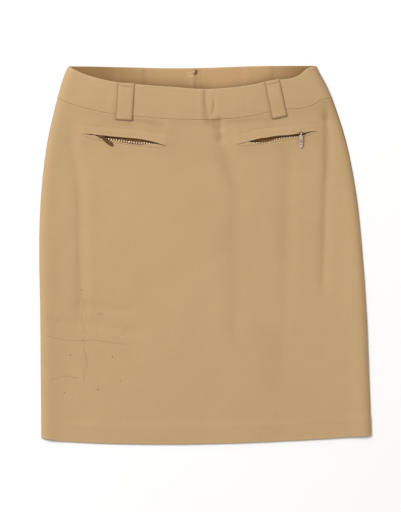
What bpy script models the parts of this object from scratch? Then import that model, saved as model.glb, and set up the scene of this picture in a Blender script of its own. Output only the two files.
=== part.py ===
"""Pencil skirt laid flat, front up: waistband, belt loops, two zipped slit pockets and a centre-back zip.

Sizes are in millimetres and become metres in each mesh. +X is the skirt's right as seen from above,
+Y points to the waist and +Z up, away from the surface that the back lies on. The origin is on that
surface, under the middle of the skirt. Every piece on the front is placed from front_inner(), the
height of the front's inner face, so what lies on a panel follows it.
"""

import math
from collections import namedtuple

import bmesh
import bpy
import numpy as np
from mathutils import Matrix, Vector

MM = 0.001

# Cloth and seams
WALL = 1.2  # twill of a panel
BAND_WALL = 2.0  # doubled and stiffened waistband
HEM_LAYER = 0.8  # what the turned-up hem adds inside
HEM_DEPTH = 24.0
HEM_STEP = 3.0  # length over which the hem's inner layer starts
BAND_DEPTH = 48.0
BAND_EASE = 40.0  # length over which the front settles from the back waistband to the back panel
GAP = 0.3  # between pieces at a seam
SIDE_INSET = 0.9  # the rolled side walls reach out this far past their inner face
CENTRE_BACK = -18.5  # x of the centre-back seam, which leans left as the skirt lies

# How the front lies on the back
SOFT_AIR = 2.0  # slack between the panels away from the edges
SOFT_SIDE = 25.0
SOFT_HEM = 30.0
HEM_PRESS = 0.85  # share of the slack that the pressed hem takes out
ROLL = 3.4  # height of the unpressed roll along each side seam
ROLL_REACH = 9.0
LIFT = 9.0  # how far the front's waist edge stands off the back
LIFT_REACH = 75.0

# Belt loops
LOOP_WALL = 1.5
LOOP_ARCH = 2.8  # room under the middle of a loop
LOOP_TACK = 6.0  # length sewn down at each end
LOOP_BLUNT = 0.7  # below 1, the loop rises steeply from its tacks
LOOP_STATIONS = 8
BACK_LOOP_WALL = 1.2
BACK_LOOP_EDGE = 2.5  # how far past a back loop the back stays raised
BACK_LOOP_FADE = 10.0
BACK_LOOP_MID = 4.0  # where a grid line follows that fade

# Slit pockets, in each pocket's own frame: along the slit from its outer to its inner end, and up
WINDOW_DROP = 6.8  # lower edge of the window below the zip line
WINDOW_OVER = 0.9  # upper edge of the window above the zip line where the zip is shut
WINDOW_POINT = 5.0  # length over which each end of the window closes to a point
WINDOW_STATIONS = 31
WELT_TOP = -3.1
WELT_WALL = 1.3
WELT_SINK = 0.25
WELT_SHARE = 0.84  # of the slit's length
WELT_CHAMFER = 0.5
ZIP_SHARE = 0.93
CUTTER_Z = (1.0, 30.0)
TAPE_REACH = 9.0
TAPE_TOP = -2.3
TAPE_WALL = 0.7
BEAD_WIDTH = 1.8  # one row of teeth
BEAD_TOP = -1.6
BEAD_WALL = 1.5
ROW_GAP = 0.3
ROW_PART = 12.0  # length past the slider over which the rows part
POCKET_LOFT = 1.7
POCKET_LOFT_UP = 4.0
POCKET_LOFT_REACH = 16.0
POCKET_LOFT_PAST = 18.0  # the raised cloth ends this far past the slit
POCKET_LOFT_FADE = 26.0
BAG_WALL = 1.0
BAG_ABOVE = 12.0
BAG_BELOW = 92.0
BAG_CORNER = 22.0
BAG_TAPER = 13.0
BAG_INSET = 1.0
BAG_CORNER_STEPS = 4

# Zip sliders and their pull tabs
PLATE_HALF = (5.0, 2.85)
PLATE_Z = (-1.3, 0.4)
FLANGE = 0.6
FLANGE_BOTTOM = -2.0
BRIDGE_HALF = 4.1
BRIDGE_RADIUS = 0.5
BRIDGE_BEND = 0.75
BRIDGE_ROOT = 0.6  # how deep the bridge's ends sit in the plate
RING_RADIUS = 2.4
RING_TUBE = 0.45
RING_CLEAR = 0.3
RING_STEPS = 20
PULL_HALF_WALL = 0.55
PULL_CLEAR = 0.5
PullRow = namedtuple("PullRow", "out half")
PULL_ROWS = (
    PullRow(2.4, 0.6),
    PullRow(4.4, 0.6),
    PullRow(6.6, 2.5),
    PullRow(9.0, 3.1),
    PullRow(17.5, 3.1),
    PullRow(20.6, 2.2),
    PullRow(22.0, 0.9),
)

# Centre-back zip, seen from inside
BACK_ZIP_LENGTH = 185.0
BACK_ZIP_HALF = 12.0
BACK_TAPE_WALL = 0.7
BACK_COIL_HALF = 2.0
BACK_COIL_TOP_HALF = 1.2
BACK_COIL_HEIGHT = 0.9
BACK_ZIP_DROP = 1.0  # below the waist edge
BACK_SLIDER = (5.6, 8.0, 2.2)  # width, length, height
BACK_SLIDER_DROP = 3.0
BACK_SLIDER_SHARES = (
    (-1.0, -0.30),
    (-0.5, -0.50),
    (0.5, -0.50),
    (1.0, -0.30),
    (1.0, 0.35),
    (0.5, 0.50),
    (-0.5, 0.50),
    (-1.0, 0.35),
)

SideRow = namedtuple("SideRow", "y left right")
SIDE_LINES = (
    SideRow(-284.0, -246.3, 249.8),
    SideRow(-200.0, -247.3, 247.2),
    SideRow(-92.0, -248.2, 243.2),
    SideRow(16.0, -249.8, 235.5),
    SideRow(88.0, -247.2, 227.5),
    SideRow(160.0, -239.0, 214.0),
    SideRow(214.0, -227.5, 198.0),
    SideRow(250.0, -218.0, 183.5),
    SideRow(272.0, -210.5, 171.5),
    SideRow(284.0, -204.0, 165.5),
)

# Height of an edge line against the fraction of the width, from the left side to the right
EdgeRow = namedtuple("EdgeRow", "across y")
FRONT_WAIST = (
    EdgeRow(0.0, 282.8),
    EdgeRow(0.03, 277.8),
    EdgeRow(0.09, 269.8),
    EdgeRow(0.19, 260.8),
    EdgeRow(0.30, 256.3),
    EdgeRow(0.42, 252.5),
    EdgeRow(0.546, 249.4),
    EdgeRow(0.656, 252.6),
    EdgeRow(0.74, 259.0),
    EdgeRow(0.80, 263.5),
    EdgeRow(0.885, 266.0),
    EdgeRow(0.925, 271.0),
    EdgeRow(0.965, 280.0),
    EdgeRow(1.0, 283.3),
)
BACK_WAIST = (
    EdgeRow(0.0, 283.0),
    EdgeRow(0.2, 281.5),
    EdgeRow(0.4, 280.2),
    EdgeRow(0.7, 282.2),
    EdgeRow(1.0, 283.5),
)
HEM_LINE = (
    EdgeRow(0.0, -274.5),
    EdgeRow(0.055, -278.2),
    EdgeRow(0.147, -281.2),
    EdgeRow(0.268, -283.2),
    EdgeRow(0.42, -283.5),
    EdgeRow(0.63, -279.3),
    EdgeRow(0.843, -274.5),
    EdgeRow(1.0, -269.2),
)

# Main folds: a line that runs down (x against y) or across (y against x), with its half width, its
# height, or depth where negative, and the length over which each end fades
Fold = namedtuple("Fold", "name runs points width height fade")
FOLDS = (
    Fold("left trough", "down", ((-75, -190), (-4, -191), (108, -193), (167, -204)), 9, -1.5, 40),
    Fold("left ridge", "down", ((-70, -174), (-4, -175), (108, -178), (160, -186)), 9, 1.0, 45),
    Fold("left foot crease", "across", ((-190, -77), (-168, -78), (-117, -84)), 6, -1.0, 18),
    Fold("right trough", "down", ((-24, 173), (147, 176), (206, 187)), 9, -1.5, 45),
    Fold("right ridge", "down", ((-30, 188), (147, 191), (190, 197)), 8, 0.9, 45),
    Fold("centre band trough", "down", ((207, 0), (244, -1.5)), 4.5, -1.5, 9),
    Fold("centre band ridge", "down", ((204, 6), (244, 6)), 4.0, 1.2, 9),
    Fold("centre band side trough", "down", ((209, 11), (222, 13.5), (236, 12.5)), 4.0, -1.1, 8),
    Fold("centre hollow", "down", ((168, 20), (185, 14), (201, 9)), 9, -1.5, 14),
    Fold("centre drape", "down", ((-136, 63), (-108, 42), (39, 39), (89, 44), (171, 20)), 14, -0.9, 50),
    Fold("right drape", "down", ((-58, 122), (147, 122)), 15, -0.7, 50),
    Fold("left loop crease", "across", ((-109, 200), (-66, 193)), 5, -0.9, 12),
    Fold("low left crease", "across", ((-232, -97), (-147, -108), (-110, -116)), 5, -0.7, 20),
)

# Each pocket: middle of its slit, direction from its outer to its inner end, half length, slider's
# place along it, where it gapes most, how far the cloth draws back there, and which way its pull
# tab points
Pocket = namedtuple("Pocket", "side x y angle half slider peak draw_back pull_angle pull_metal")
POCKETS = (
    Pocket("left", -122.2, 172.9, -8.1, 64.0, -34.0, 20.0, 0.8, -38.5, "dark_metal"),
    Pocket("right", 106.5, 175.9, 189.5, 60.0, -36.5, 16.0, 2.0, -90.0, "bright_metal"),
)
GAPE = 2.6  # how far the open zip's rows stand apart
GAPE_PEAK = 1.0  # and how much more where they gape most
GAPE_REACH = 13.0
GAPE_START = 13.0  # the cloth starts to rise this far outside the slider
GAPE_EASE = (7.0, 22.0)  # lengths over which the gape opens and closes

# Front loops: middle of the top end, middle of the bottom end, and width
Loop = namedtuple("Loop", "side top bottom width")
FRONT_LOOPS = (
    Loop("left", (-119.0, 257.6), (-122.6, 203.2), 25.5),
    Loop("right", (98.6, 261.5), (110.4, 206.8), 23.0),
)
BACK_LOOPS = (
    Loop("left", (-112.0, 280.5), (-114.0, 226.0), 25.0),
    Loop("right", (78.0, 281.5), (80.0, 227.0), 25.0),
)

# Grid lines: up to this place, in this many steps
Stop = namedtuple("Stop", "upto steps")
FRONT_COLUMNS = (
    Stop(0.020, 3),
    Stop(0.090, 4),
    Stop(0.160, 5),
    Stop(0.480, 7),
    Stop(0.590, 8),
    Stop(0.820, 7),
    Stop(0.880, 4),
    Stop(0.980, 4),
    Stop(1.0, 3),
)
BAND_COLUMNS = (
    Stop(0.020, 3),
    Stop(0.100, 3),
    Stop(0.500, 10),
    Stop(0.600, 9),
    Stop(0.900, 8),
    Stop(0.980, 4),
    Stop(1.0, 3),
)
FRONT_ROWS = (
    Stop(0.130, 9),
    Stop(0.320, 6),
    Stop(0.700, 7),
    Stop(0.945, 3),
    Stop(0.955, 1),
    Stop(1.0, 2),
)
BAND_ROWS = (Stop(0.06, 1), Stop(1.0, 5))
BACK_BAND_ROWS = (Stop(1.0, 3),)
BACK_ROWS = (
    Stop(0.020, 1),
    Stop(0.042, 2),
    Stop(0.360, 6),
    Stop(0.945, 5),
    Stop(0.955, 2),
    Stop(1.0, 1),
)

COLOURS = {  # base colour, roughness, metallic
    "cloth": ((0.55, 0.37, 0.195), 0.85, 0.0),
    "pocketing": ((0.075, 0.042, 0.018), 0.9, 0.0),
    "zip_tape": ((0.50, 0.34, 0.18), 0.85, 0.0),
    "bright_metal": ((0.78, 0.76, 0.75), 0.25, 1.0),
    "dark_metal": ((0.20, 0.13, 0.08), 0.35, 1.0),
}


# ---- values read from the tables ----

def smooth_line(xs, ys, at):
    """Cubic through (xs, ys), with each inner tangent parallel to the chord of its neighbours."""
    xs, ys, at = (np.asarray(v, float) for v in (xs, ys, at))
    tangent = np.empty_like(ys)
    tangent[1:-1] = (ys[2:] - ys[:-2]) / (xs[2:] - xs[:-2])
    tangent[0] = (ys[1] - ys[0]) / (xs[1] - xs[0])
    tangent[-1] = (ys[-1] - ys[-2]) / (xs[-1] - xs[-2])
    low = np.clip(np.searchsorted(xs, at) - 1, 0, len(xs) - 2)
    span = xs[low + 1] - xs[low]
    t = np.clip((at - xs[low]) / span, 0.0, 1.0)
    return (
        ys[low] * (1 + 2 * t) * (1 - t) ** 2
        + tangent[low] * span * t * (1 - t) ** 2
        + ys[low + 1] * t * t * (3 - 2 * t)
        - tangent[low + 1] * span * t * t * (1 - t)
    )


def table_line(rows, key, value, at):
    return smooth_line([getattr(row, key) for row in rows], [getattr(row, value) for row in rows], at)


def side_lines(y):
    return table_line(SIDE_LINES, "y", "left", y), table_line(SIDE_LINES, "y", "right", y)


def edge_line(rows, across):
    return table_line(rows, "across", "y", np.clip(across, 0.0, 1.0))


def ease(value, length):
    """0 below zero, 1 past length, and a smooth step between."""
    t = np.clip(value / length, 0.0, 1.0)
    return t * t * (3 - 2 * t)


def grid_lines(stops):
    lines = [np.zeros(1)]
    start = 0.0
    for stop in stops:
        lines.append(np.linspace(start, stop.upto, stop.steps + 1)[1:])
        start = stop.upto
    return np.concatenate(lines)


# ---- heights of the cloth ----

def across_of(x, y):
    left, right = side_lines(y)
    return (x - left) / (right - left)


def back_raise(x, y):
    """The back lies over its belt loops, so it stands off the surface there."""
    raised = 0.0
    for loop in BACK_LOOPS:
        middle = (loop.top[0] + loop.bottom[0]) / 2
        beside = np.abs(x - middle) - loop.width / 2 - BACK_LOOP_EDGE
        below = loop.bottom[1] - BACK_LOOP_EDGE - y
        raised = raised + (1 - ease(beside, BACK_LOOP_FADE)) * (1 - ease(below, BACK_LOOP_FADE))
    return (BACK_LOOP_WALL + GAP) * raised


def hem_share(y, across):
    """1 on the turned-up hem, 0 above it."""
    return 1 - ease(y - edge_line(HEM_LINE, across) - HEM_DEPTH, HEM_STEP)


def back_cover(y, across):
    """A smooth height over the back panel, its hem and its waistband, for what lies on them."""
    seam = edge_line(BACK_WAIST, across) - BAND_DEPTH
    band = ease(y - seam + BAND_EASE + 1.0, BAND_EASE)
    return WALL + (BAND_WALL - WALL) * band + HEM_LAYER * hem_share(y, across)


def fold_height(x, y):
    total = 0.0
    for fold in FOLDS:
        along, over = (y, x) if fold.runs == "down" else (x, y)
        starts = [point[0] for point in fold.points]
        line = smooth_line(starts, [point[1] for point in fold.points], along)
        ends = ease(along - starts[0] + fold.fade, fold.fade)
        ends = ends * ease(starts[-1] + fold.fade - along, fold.fade)
        total = total + fold.height * ends * np.exp(-(((over - line) / fold.width) ** 2))
    return total


def pocket_coords(pocket, x, y):
    angle = math.radians(pocket.angle)
    dx, dy = x - pocket.x, y - pocket.y
    along = dx * math.cos(angle) + dy * math.sin(angle)
    up = np.sign(math.cos(angle)) * (dy * math.cos(angle) - dx * math.sin(angle))
    return along, up


def pocket_point(pocket, along, up):
    angle = math.radians(pocket.angle)
    turn = np.sign(math.cos(angle))
    x = pocket.x + along * math.cos(angle) - turn * up * math.sin(angle)
    y = pocket.y + along * math.sin(angle) + turn * up * math.cos(angle)
    return x, y


def pocket_height(x, y):
    total = 0.0
    for pocket in POCKETS:
        along, up = pocket_coords(pocket, x, y)
        ends = ease(pocket.half + POCKET_LOFT_PAST - np.abs(along), POCKET_LOFT_FADE)
        bell = np.exp(-(((up - POCKET_LOFT_UP) / POCKET_LOFT_REACH) ** 2))
        total = total + POCKET_LOFT * ends * bell
    return total


def front_inner(x, y):
    """Inner face of the front: contact at the sides and hem, with slack, side rolls, lift and folds."""
    left, right = side_lines(y)
    across = (x - left) / (right - left)
    side = np.maximum(np.minimum(x - left, right - x) - SIDE_INSET, 0.0)
    below_edge = np.maximum(edge_line(FRONT_WAIST, across) - y, 0.0)
    above_hem = np.maximum(y - edge_line(HEM_LINE, across), 0.0)
    inside = 1 - np.exp(-side / SOFT_SIDE)
    slack = SOFT_AIR * inside * (1 - HEM_PRESS * np.exp(-above_hem / SOFT_HEM))
    roll = ROLL * side / ROLL_REACH * np.exp(1 - side / ROLL_REACH)
    lift = LIFT * (1 - np.abs(2 * across - 1) ** 4) * np.exp(-((below_edge / LIFT_REACH) ** 2))
    air = slack + roll + lift + inside * (fold_height(x, y) + pocket_height(x, y))
    return back_cover(y, across) + GAP + np.maximum(air, 0.0)


def front_outer(x, y, wall=WALL):
    return front_inner(x, y) + wall


def surface_frame(x, y, heading):
    """Tangent along a heading in degrees, and normal, of the front's outer face."""
    step = 2.0
    slope_x = (front_outer(x + step, y) - front_outer(x - step, y)) / (2 * step)
    slope_y = (front_outer(x, y + step) - front_outer(x, y - step)) / (2 * step)
    normal = Vector((-slope_x, -slope_y, 1.0)).normalized()
    flat = Vector((math.cos(math.radians(heading)), math.sin(math.radians(heading)), 0.0))
    return (flat - normal * flat.dot(normal)).normalized(), normal


# ---- meshes ----

def clear_scene():
    for obj in list(bpy.data.objects):
        bpy.data.objects.remove(obj, do_unlink=True)


def material(name):
    found = bpy.data.materials.get(name)
    if found:
        return found
    made = bpy.data.materials.new(name)
    made.use_nodes = True
    colour, roughness, metallic = COLOURS[name]
    shader = made.node_tree.nodes["Principled BSDF"]
    shader.inputs["Base Color"].default_value = (*colour, 1.0)
    shader.inputs["Roughness"].default_value = roughness
    shader.inputs["Metallic"].default_value = metallic
    return made


def add_object(name, points, faces, slot, place=None, smooth=None):
    """An object from points in millimetres, with its faces turned outwards."""
    mesh = bpy.data.meshes.new(name)
    corners = (np.asarray(points, float) * MM).tolist()
    mesh.from_pydata(corners, [], [[int(i) for i in face] for face in faces])
    working = bmesh.new()
    working.from_mesh(mesh)
    bmesh.ops.recalc_face_normals(working, faces=working.faces)
    working.to_mesh(mesh)
    working.free()
    if smooth:
        mesh.shade_smooth()
        mesh.set_sharp_from_angle(angle=math.radians(smooth))
    obj = bpy.data.objects.new(name, mesh)
    bpy.context.scene.collection.objects.link(obj)
    if slot:
        mesh.materials.append(material(slot))
    if place:
        obj.matrix_world = place
    return obj


def grid_faces(rows, columns, offset=0):
    """Quads of a grid whose points run along its columns first."""
    index = np.arange(rows * columns).reshape(rows, columns) + offset
    quads = np.stack([index[:-1, :-1], index[:-1, 1:], index[1:, 1:], index[1:, :-1]], axis=-1)
    return quads.reshape(-1, 4)


def tube_faces(stations, corners, closed=False):
    """Quads round a row of equal rings of points, with a flat face on each end unless closed."""
    index = np.arange(stations * corners).reshape(stations, corners)
    if closed:
        index = np.vstack([index, index[:1]])
    around = np.roll(index, -1, axis=1)
    quads = np.stack([index[:-1], around[:-1], around[1:], index[1:]], axis=-1)
    faces = [list(quad) for quad in quads.reshape(-1, 4)]
    if not closed:
        faces += [list(index[0]), list(index[-1])]
    return faces


def rim_faces(rows, columns):
    """Quads that join the borders of two grids of the same size, one after the other."""
    index = np.arange(rows * columns).reshape(rows, columns)
    border = np.concatenate([index[0, :-1], index[:-1, -1], index[-1, :0:-1], index[:0:-1, 0]])
    after = np.roll(border, -1)
    return np.stack([border, after, after + rows * columns, border + rows * columns], axis=-1)


def wall_object(name, lower, upper, slot):
    """A closed wall between two grids of points, shape (rows, columns, 3)."""
    rows, columns = lower.shape[:2]
    points = np.concatenate([lower.reshape(-1, 3), upper.reshape(-1, 3)])
    below = grid_faces(rows, columns)[:, ::-1]
    above = grid_faces(rows, columns, rows * columns)
    faces = np.concatenate([below, above, rim_faces(rows, columns)])
    return add_object(name, points, faces, slot, smooth=40)


def raise_wall(lower, thickness):
    """The outer grid of a wall: moved out square to the grid's slope in x, so seams in y stay parallel."""
    slope = np.gradient(lower[..., 2], axis=1) / np.gradient(lower[..., 0], axis=1)
    out = np.stack([-slope, np.zeros_like(slope), np.ones_like(slope)], axis=-1)
    return lower + out * (thickness / np.sqrt(1 + slope**2))[..., None]


def prism(name, outline, bottom, top, slot=None):
    """A closed prism on an outline of (x, y)."""
    count = len(outline)
    points = [(x, y, bottom) for x, y in outline] + [(x, y, top) for x, y in outline]
    ring = [(i, (i + 1) % count, count + (i + 1) % count, count + i) for i in range(count)]
    faces = [list(range(count)), list(range(count, 2 * count))] + ring
    return add_object(name, points, faces, slot)


def swept(name, path, radius, sides, slot=None, closed=False):
    """A round rod along a path in the x-z plane, with flat ends, or a ring where closed."""
    path = np.asarray(path, float)
    if closed:
        ahead, behind = np.roll(path, -1, axis=0), np.roll(path, 1, axis=0)
    else:
        ahead, behind = np.vstack([path[1:], path[-1:]]), np.vstack([path[:1], path[:-1]])
    tangent = ahead - behind
    tangent /= np.linalg.norm(tangent, axis=1)[:, None]
    across = np.array((0.0, 1.0, 0.0))
    out = np.cross(tangent, across)
    turn = 2 * math.pi * np.arange(sides) / sides
    circle = np.cos(turn)[None, :, None] * out[:, None, :] + np.sin(turn)[None, :, None] * across
    points = (path[:, None, :] + radius * circle).reshape(-1, 3)
    return add_object(name, points, tube_faces(len(path), sides, closed), slot)


def combine(target, other, operation):
    """Leaves a Boolean on the target, with the other object as its hidden helper."""
    other.hide_render = True
    other.display_type = "WIRE"
    change = target.modifiers.new(operation.title(), "BOOLEAN")
    change.operation = operation
    change.solver = "EXACT"
    change.object = other


# ---- panels and waistbands ----

def front_grid(across, y):
    """Points of the front's inner face from fractions of the width and heights."""
    left, right = side_lines(y)
    x = left + SIDE_INSET + (right - left - 2 * SIDE_INSET) * across
    return np.stack([x, y, front_inner(x, y)], axis=-1)


def between(upper, lower, fractions):
    return upper[None, :] + (lower - upper)[None, :] * fractions[:, None]


def front_panel():
    across = grid_lines(FRONT_COLUMNS)
    seam = edge_line(FRONT_WAIST, across) - BAND_DEPTH - GAP
    y = between(seam, edge_line(HEM_LINE, across), grid_lines(FRONT_ROWS))
    inner = front_grid(np.broadcast_to(across, y.shape), y)
    wall = WALL + HEM_LAYER * hem_share(y, across)
    panel = wall_object("front_panel", inner, raise_wall(inner, wall), "cloth")
    for pocket in POCKETS:
        combine(panel, window_cutter(pocket), "DIFFERENCE")


def front_waistband():
    across = grid_lines(BAND_COLUMNS)
    edge = edge_line(FRONT_WAIST, across)
    y = between(edge, edge - BAND_DEPTH, grid_lines(BAND_ROWS))
    inner = front_grid(np.broadcast_to(across, y.shape), y)
    wall_object("front_waistband", inner, raise_wall(inner, BAND_WALL), "cloth")


def back_columns(side, outer):
    """x of a back piece's grid lines: centre-back seam, both edges of the loop's rise, and the side."""
    sign = 1 if side == "right" else -1
    loop = BACK_LOOPS[0 if side == "left" else 1]
    near = loop.width / 2 + BACK_LOOP_EDGE
    reach = near + BACK_LOOP_FADE
    middle = (loop.top[0] + loop.bottom[0]) / 2
    steps = (-reach, -near - BACK_LOOP_MID, -near, near, near + BACK_LOOP_MID, reach)
    fixed = [CENTRE_BACK + sign * GAP / 2] + [middle + sign * step for step in steps]
    lines = [np.full(outer.shape, x) for x in fixed]
    lines += [(lines[-1] + outer) / 2, outer]
    return np.stack(lines, axis=-1)


def back_edges(across, hemmed):
    """Top and bottom of the hemmed back panel, or of the back waistband."""
    waist = edge_line(BACK_WAIST, across)
    if hemmed:
        return waist - BAND_DEPTH - GAP, edge_line(HEM_LINE, across)
    return waist, waist - BAND_DEPTH


def back_piece(name, side, rows, wall, hemmed):
    """A back panel or band half, flat on the surface but over its belt loop."""
    lines = grid_lines(rows)
    middle_top, middle_low = back_edges(0.5, hemmed)
    heights = middle_top + (middle_low - middle_top) * lines
    left, right = side_lines(heights)
    x = back_columns(side, right - GAP if side == "right" else left + GAP)
    across = across_of(x, heights[:, None])
    top, low = back_edges(across, hemmed)
    y = top + (low - top) * lines[:, None]
    bottom_z = back_raise(x, y)
    extra = HEM_LAYER * hem_share(y, across) if hemmed else 0.0
    lower = np.stack([x, y, bottom_z], axis=-1)
    upper = np.stack([x, y, bottom_z + wall + extra], axis=-1)
    wall_object(name, lower, upper, "cloth")


def back_pieces():
    for side in ("left", "right"):
        back_piece(f"back_panel_{side}", side, BACK_ROWS, WALL, hemmed=True)
        back_piece(f"back_waistband_{side}", side, BACK_BAND_ROWS, BAND_WALL, hemmed=False)


# ---- belt loops ----

def front_loop(loop):
    """A strip tacked down at both ends and standing off the waistband between them."""
    down = np.array(loop.bottom) - np.array(loop.top)
    length = float(np.hypot(*down))
    down = down / length
    aside = np.array((-down[1], down[0]))
    tack = LOOP_TACK / length
    along = np.concatenate([[0.0], np.linspace(tack, 1 - tack, LOOP_STATIONS), [1.0]])
    over = np.linspace(-0.5, 0.5, 3) * loop.width
    half_turn = math.pi * np.clip((along - tack) / (1 - 2 * tack), 0.0, 1.0)
    arch = LOOP_ARCH * np.sin(half_turn) ** LOOP_BLUNT
    x = loop.top[0] + down[0] * length * along[:, None] + aside[0] * over[None, :]
    y = loop.top[1] + down[1] * length * along[:, None] + aside[1] * over[None, :]
    z = front_outer(x, y, BAND_WALL) + GAP + arch[:, None]
    lower = np.stack([x, y, z], axis=-1)
    upper = lower + np.array((0.0, 0.0, LOOP_WALL))
    wall_object(f"belt_loop_front_{loop.side}", lower, upper, "cloth")


def back_loop(loop):
    """A plain strip pressed flat between the back waistband and the surface."""
    half = loop.width / 2
    (top_x, top_y), (low_x, low_y) = loop.top, loop.bottom
    outline = [(low_x - half, low_y), (low_x + half, low_y), (top_x + half, top_y), (top_x - half, top_y)]
    prism(f"belt_loop_back_{loop.side}", outline, 0.0, BACK_LOOP_WALL, "cloth")


# ---- slit pockets ----

def gape(pocket, along):
    """How far the zip's rows stand apart, and the bell that peaks where they gape most."""
    opened = ease(along - pocket.slider + GAPE_START, GAPE_EASE[0])
    opened = opened * ease(pocket.half - along, GAPE_EASE[1])
    bell = opened * np.exp(-(((along - pocket.peak) / GAPE_REACH) ** 2))
    return opened * GAPE + bell * GAPE_PEAK, bell


def window_top(pocket, along):
    """Upper edge of the window, over the upper row of teeth."""
    rows_apart, bell = gape(pocket, along)
    over = ease(pocket.half - np.abs(along), WINDOW_POINT) * WINDOW_OVER
    return over + rows_apart + bell * pocket.draw_back


def window_low(pocket, along):
    return -WINDOW_DROP * np.sqrt(np.clip(1 - (np.abs(along) / pocket.half) ** 4, 0.0, 1.0))


def window_cutter(pocket):
    along = pocket.half * np.sin(np.linspace(-0.5, 0.5, WINDOW_STATIONS) * math.pi)
    top = list(zip(along, window_top(pocket, along)))
    low = list(zip(along, window_low(pocket, along)))[1:-1]
    outline = [pocket_point(pocket, a, b) for a, b in top[::-1] + low]
    return prism(f"window_cutter_{pocket.side}", outline, *CUTTER_Z)


def pocket_strip(name, pocket, along, profile, slot):
    """A strip along the slit. Its closed profile is (up, depth) pairs, each a number or an array."""
    x, y, z = [], [], []
    for up, depth in profile:
        px, py = pocket_point(pocket, along, np.broadcast_to(up, along.shape))
        x.append(px)
        y.append(py)
        z.append(front_outer(px, py) + depth)
    points = np.stack([x, y, z], axis=-1).transpose(1, 0, 2)
    add_object(name, points.reshape(-1, 3), tube_faces(*points.shape[:2]), slot, smooth=40)


def pocket_welt(pocket):
    along = np.linspace(-WELT_SHARE, WELT_SHARE, 17) * pocket.half
    low = window_low(pocket, along) + GAP
    top = -WELT_SINK
    bottom = top - WELT_WALL
    profile = (
        (low, bottom),
        (low, top),
        (WELT_TOP - WELT_CHAMFER, top),
        (WELT_TOP, top - WELT_CHAMFER),
        (WELT_TOP, bottom),
    )
    pocket_strip(f"pocket_welt_{pocket.side}", pocket, along, profile, "cloth")


def row_profile(edge, turn):
    """Tape and tooth bead of one zip half. The bead's inner face lies on edge; turn is 1 above the
    zip line and -1 below it."""
    far, root = edge + turn * TAPE_REACH, edge + turn * BEAD_WIDTH
    return (
        (far, TAPE_TOP - TAPE_WALL),
        (far, TAPE_TOP),
        (root, TAPE_TOP),
        (root, BEAD_TOP),
        (edge, BEAD_TOP),
        (edge, BEAD_TOP - BEAD_WALL),
        (root, BEAD_TOP - BEAD_WALL),
        (root, TAPE_TOP - TAPE_WALL),
    )


def pocket_zip(pocket):
    along = np.linspace(-ZIP_SHARE, ZIP_SHARE, 21) * pocket.half
    past_slider = ease(along - pocket.slider - PLATE_HALF[0], ROW_PART)
    opened = ROW_GAP + gape(pocket, along)[0] * past_slider
    pocket_strip(f"zip_row_lower_{pocket.side}", pocket, along, row_profile(0.0 * along, -1.0), "zip_tape")
    pocket_strip(f"zip_row_upper_{pocket.side}", pocket, along, row_profile(opened, 1.0), "zip_tape")


def pocket_bag(pocket):
    """The bag, pressed flat between the panels, hanging from above the slit."""
    half = pocket.half - BAG_INSET
    outline = [(-half, BAG_ABOVE), (half, BAG_ABOVE)]
    foot = half - BAG_CORNER - BAG_TAPER
    for centre, start in ((foot, 0.0), (-foot, -90.0)):
        for step in range(BAG_CORNER_STEPS + 1):
            turn = math.radians(start - 90.0 * step / BAG_CORNER_STEPS)
            low = BAG_CORNER - BAG_BELOW + BAG_CORNER * math.sin(turn)
            outline.append((centre + BAG_CORNER * math.cos(turn), low))
    points = [pocket_point(pocket, a, b) for a, b in outline]
    prism(f"pocket_bag_{pocket.side}", points, WALL + GAP, WALL + GAP + BAG_WALL, "pocketing")


def slider_frame(pocket):
    """Where the slider sits on the zip, the tangent along the zip, and the cloth's normal."""
    x, y = pocket_point(pocket, pocket.slider, ROW_GAP / 2)
    along, normal = surface_frame(x, y, pocket.angle)
    return Vector((x, y, front_outer(x, y))), along, normal


def matrix_of(origin, x_axis, z_axis):
    y_axis = z_axis.cross(x_axis)
    turn = Matrix((x_axis, y_axis, z_axis)).transposed().to_4x4()
    return Matrix.Translation(origin * MM) @ turn


def bridge_height():
    return PLATE_Z[1] + RING_CLEAR + RING_RADIUS + RING_TUBE


def pocket_slider(pocket):
    """A channel over both rows of teeth, with a wire bridge that carries the pull tab."""
    origin, along, normal = slider_frame(pocket)
    place = matrix_of(origin, along, normal)
    half_x, half_y = PLATE_HALF
    shares = ((-1.0, 0.8), (-0.6, 1.0), (0.6, 1.0), (1.0, 0.75))
    outline = [(half_x * x, -half_y * y) for x, y in shares]
    outline += [(x, -y) for x, y in outline[::-1]]
    slider = prism(f"zip_slider_{pocket.side}", outline, FLANGE_BOTTOM, PLATE_Z[1], "dark_metal")
    slider.matrix_world = place
    inner = half_y - FLANGE
    channel = prism(
        f"channel_cutter_{pocket.side}",
        [(-2 * half_x, -inner), (2 * half_x, -inner), (2 * half_x, inner), (-2 * half_x, inner)],
        FLANGE_BOTTOM - 1.0,
        PLATE_Z[0],
    )
    top = bridge_height()
    bend = [math.radians(30.0 * step) for step in range(4)]
    corner = BRIDGE_HALF - BRIDGE_BEND
    low = top - BRIDGE_BEND
    arch = [(-corner - BRIDGE_BEND * math.cos(t), 0.0, low + BRIDGE_BEND * math.sin(t)) for t in bend]
    path = [(-BRIDGE_HALF, 0.0, PLATE_Z[1] - BRIDGE_ROOT)] + arch
    path += [(-x, y, z) for x, y, z in path[::-1]]
    bridge = swept(f"bridge_rod_{pocket.side}", path, BRIDGE_RADIUS, 8)
    for helper, operation in ((channel, "DIFFERENCE"), (bridge, "UNION")):
        helper.matrix_world = place
        combine(slider, helper, operation)


def pull_outline():
    """The tab seen from above: a thin neck at the ring, then a bar with a blunt point."""
    rows = [(row.out, row.half) for row in PULL_ROWS]
    return [(x, -w) for x, w in rows] + [(x, w) for x, w in rows[::-1]]


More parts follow.
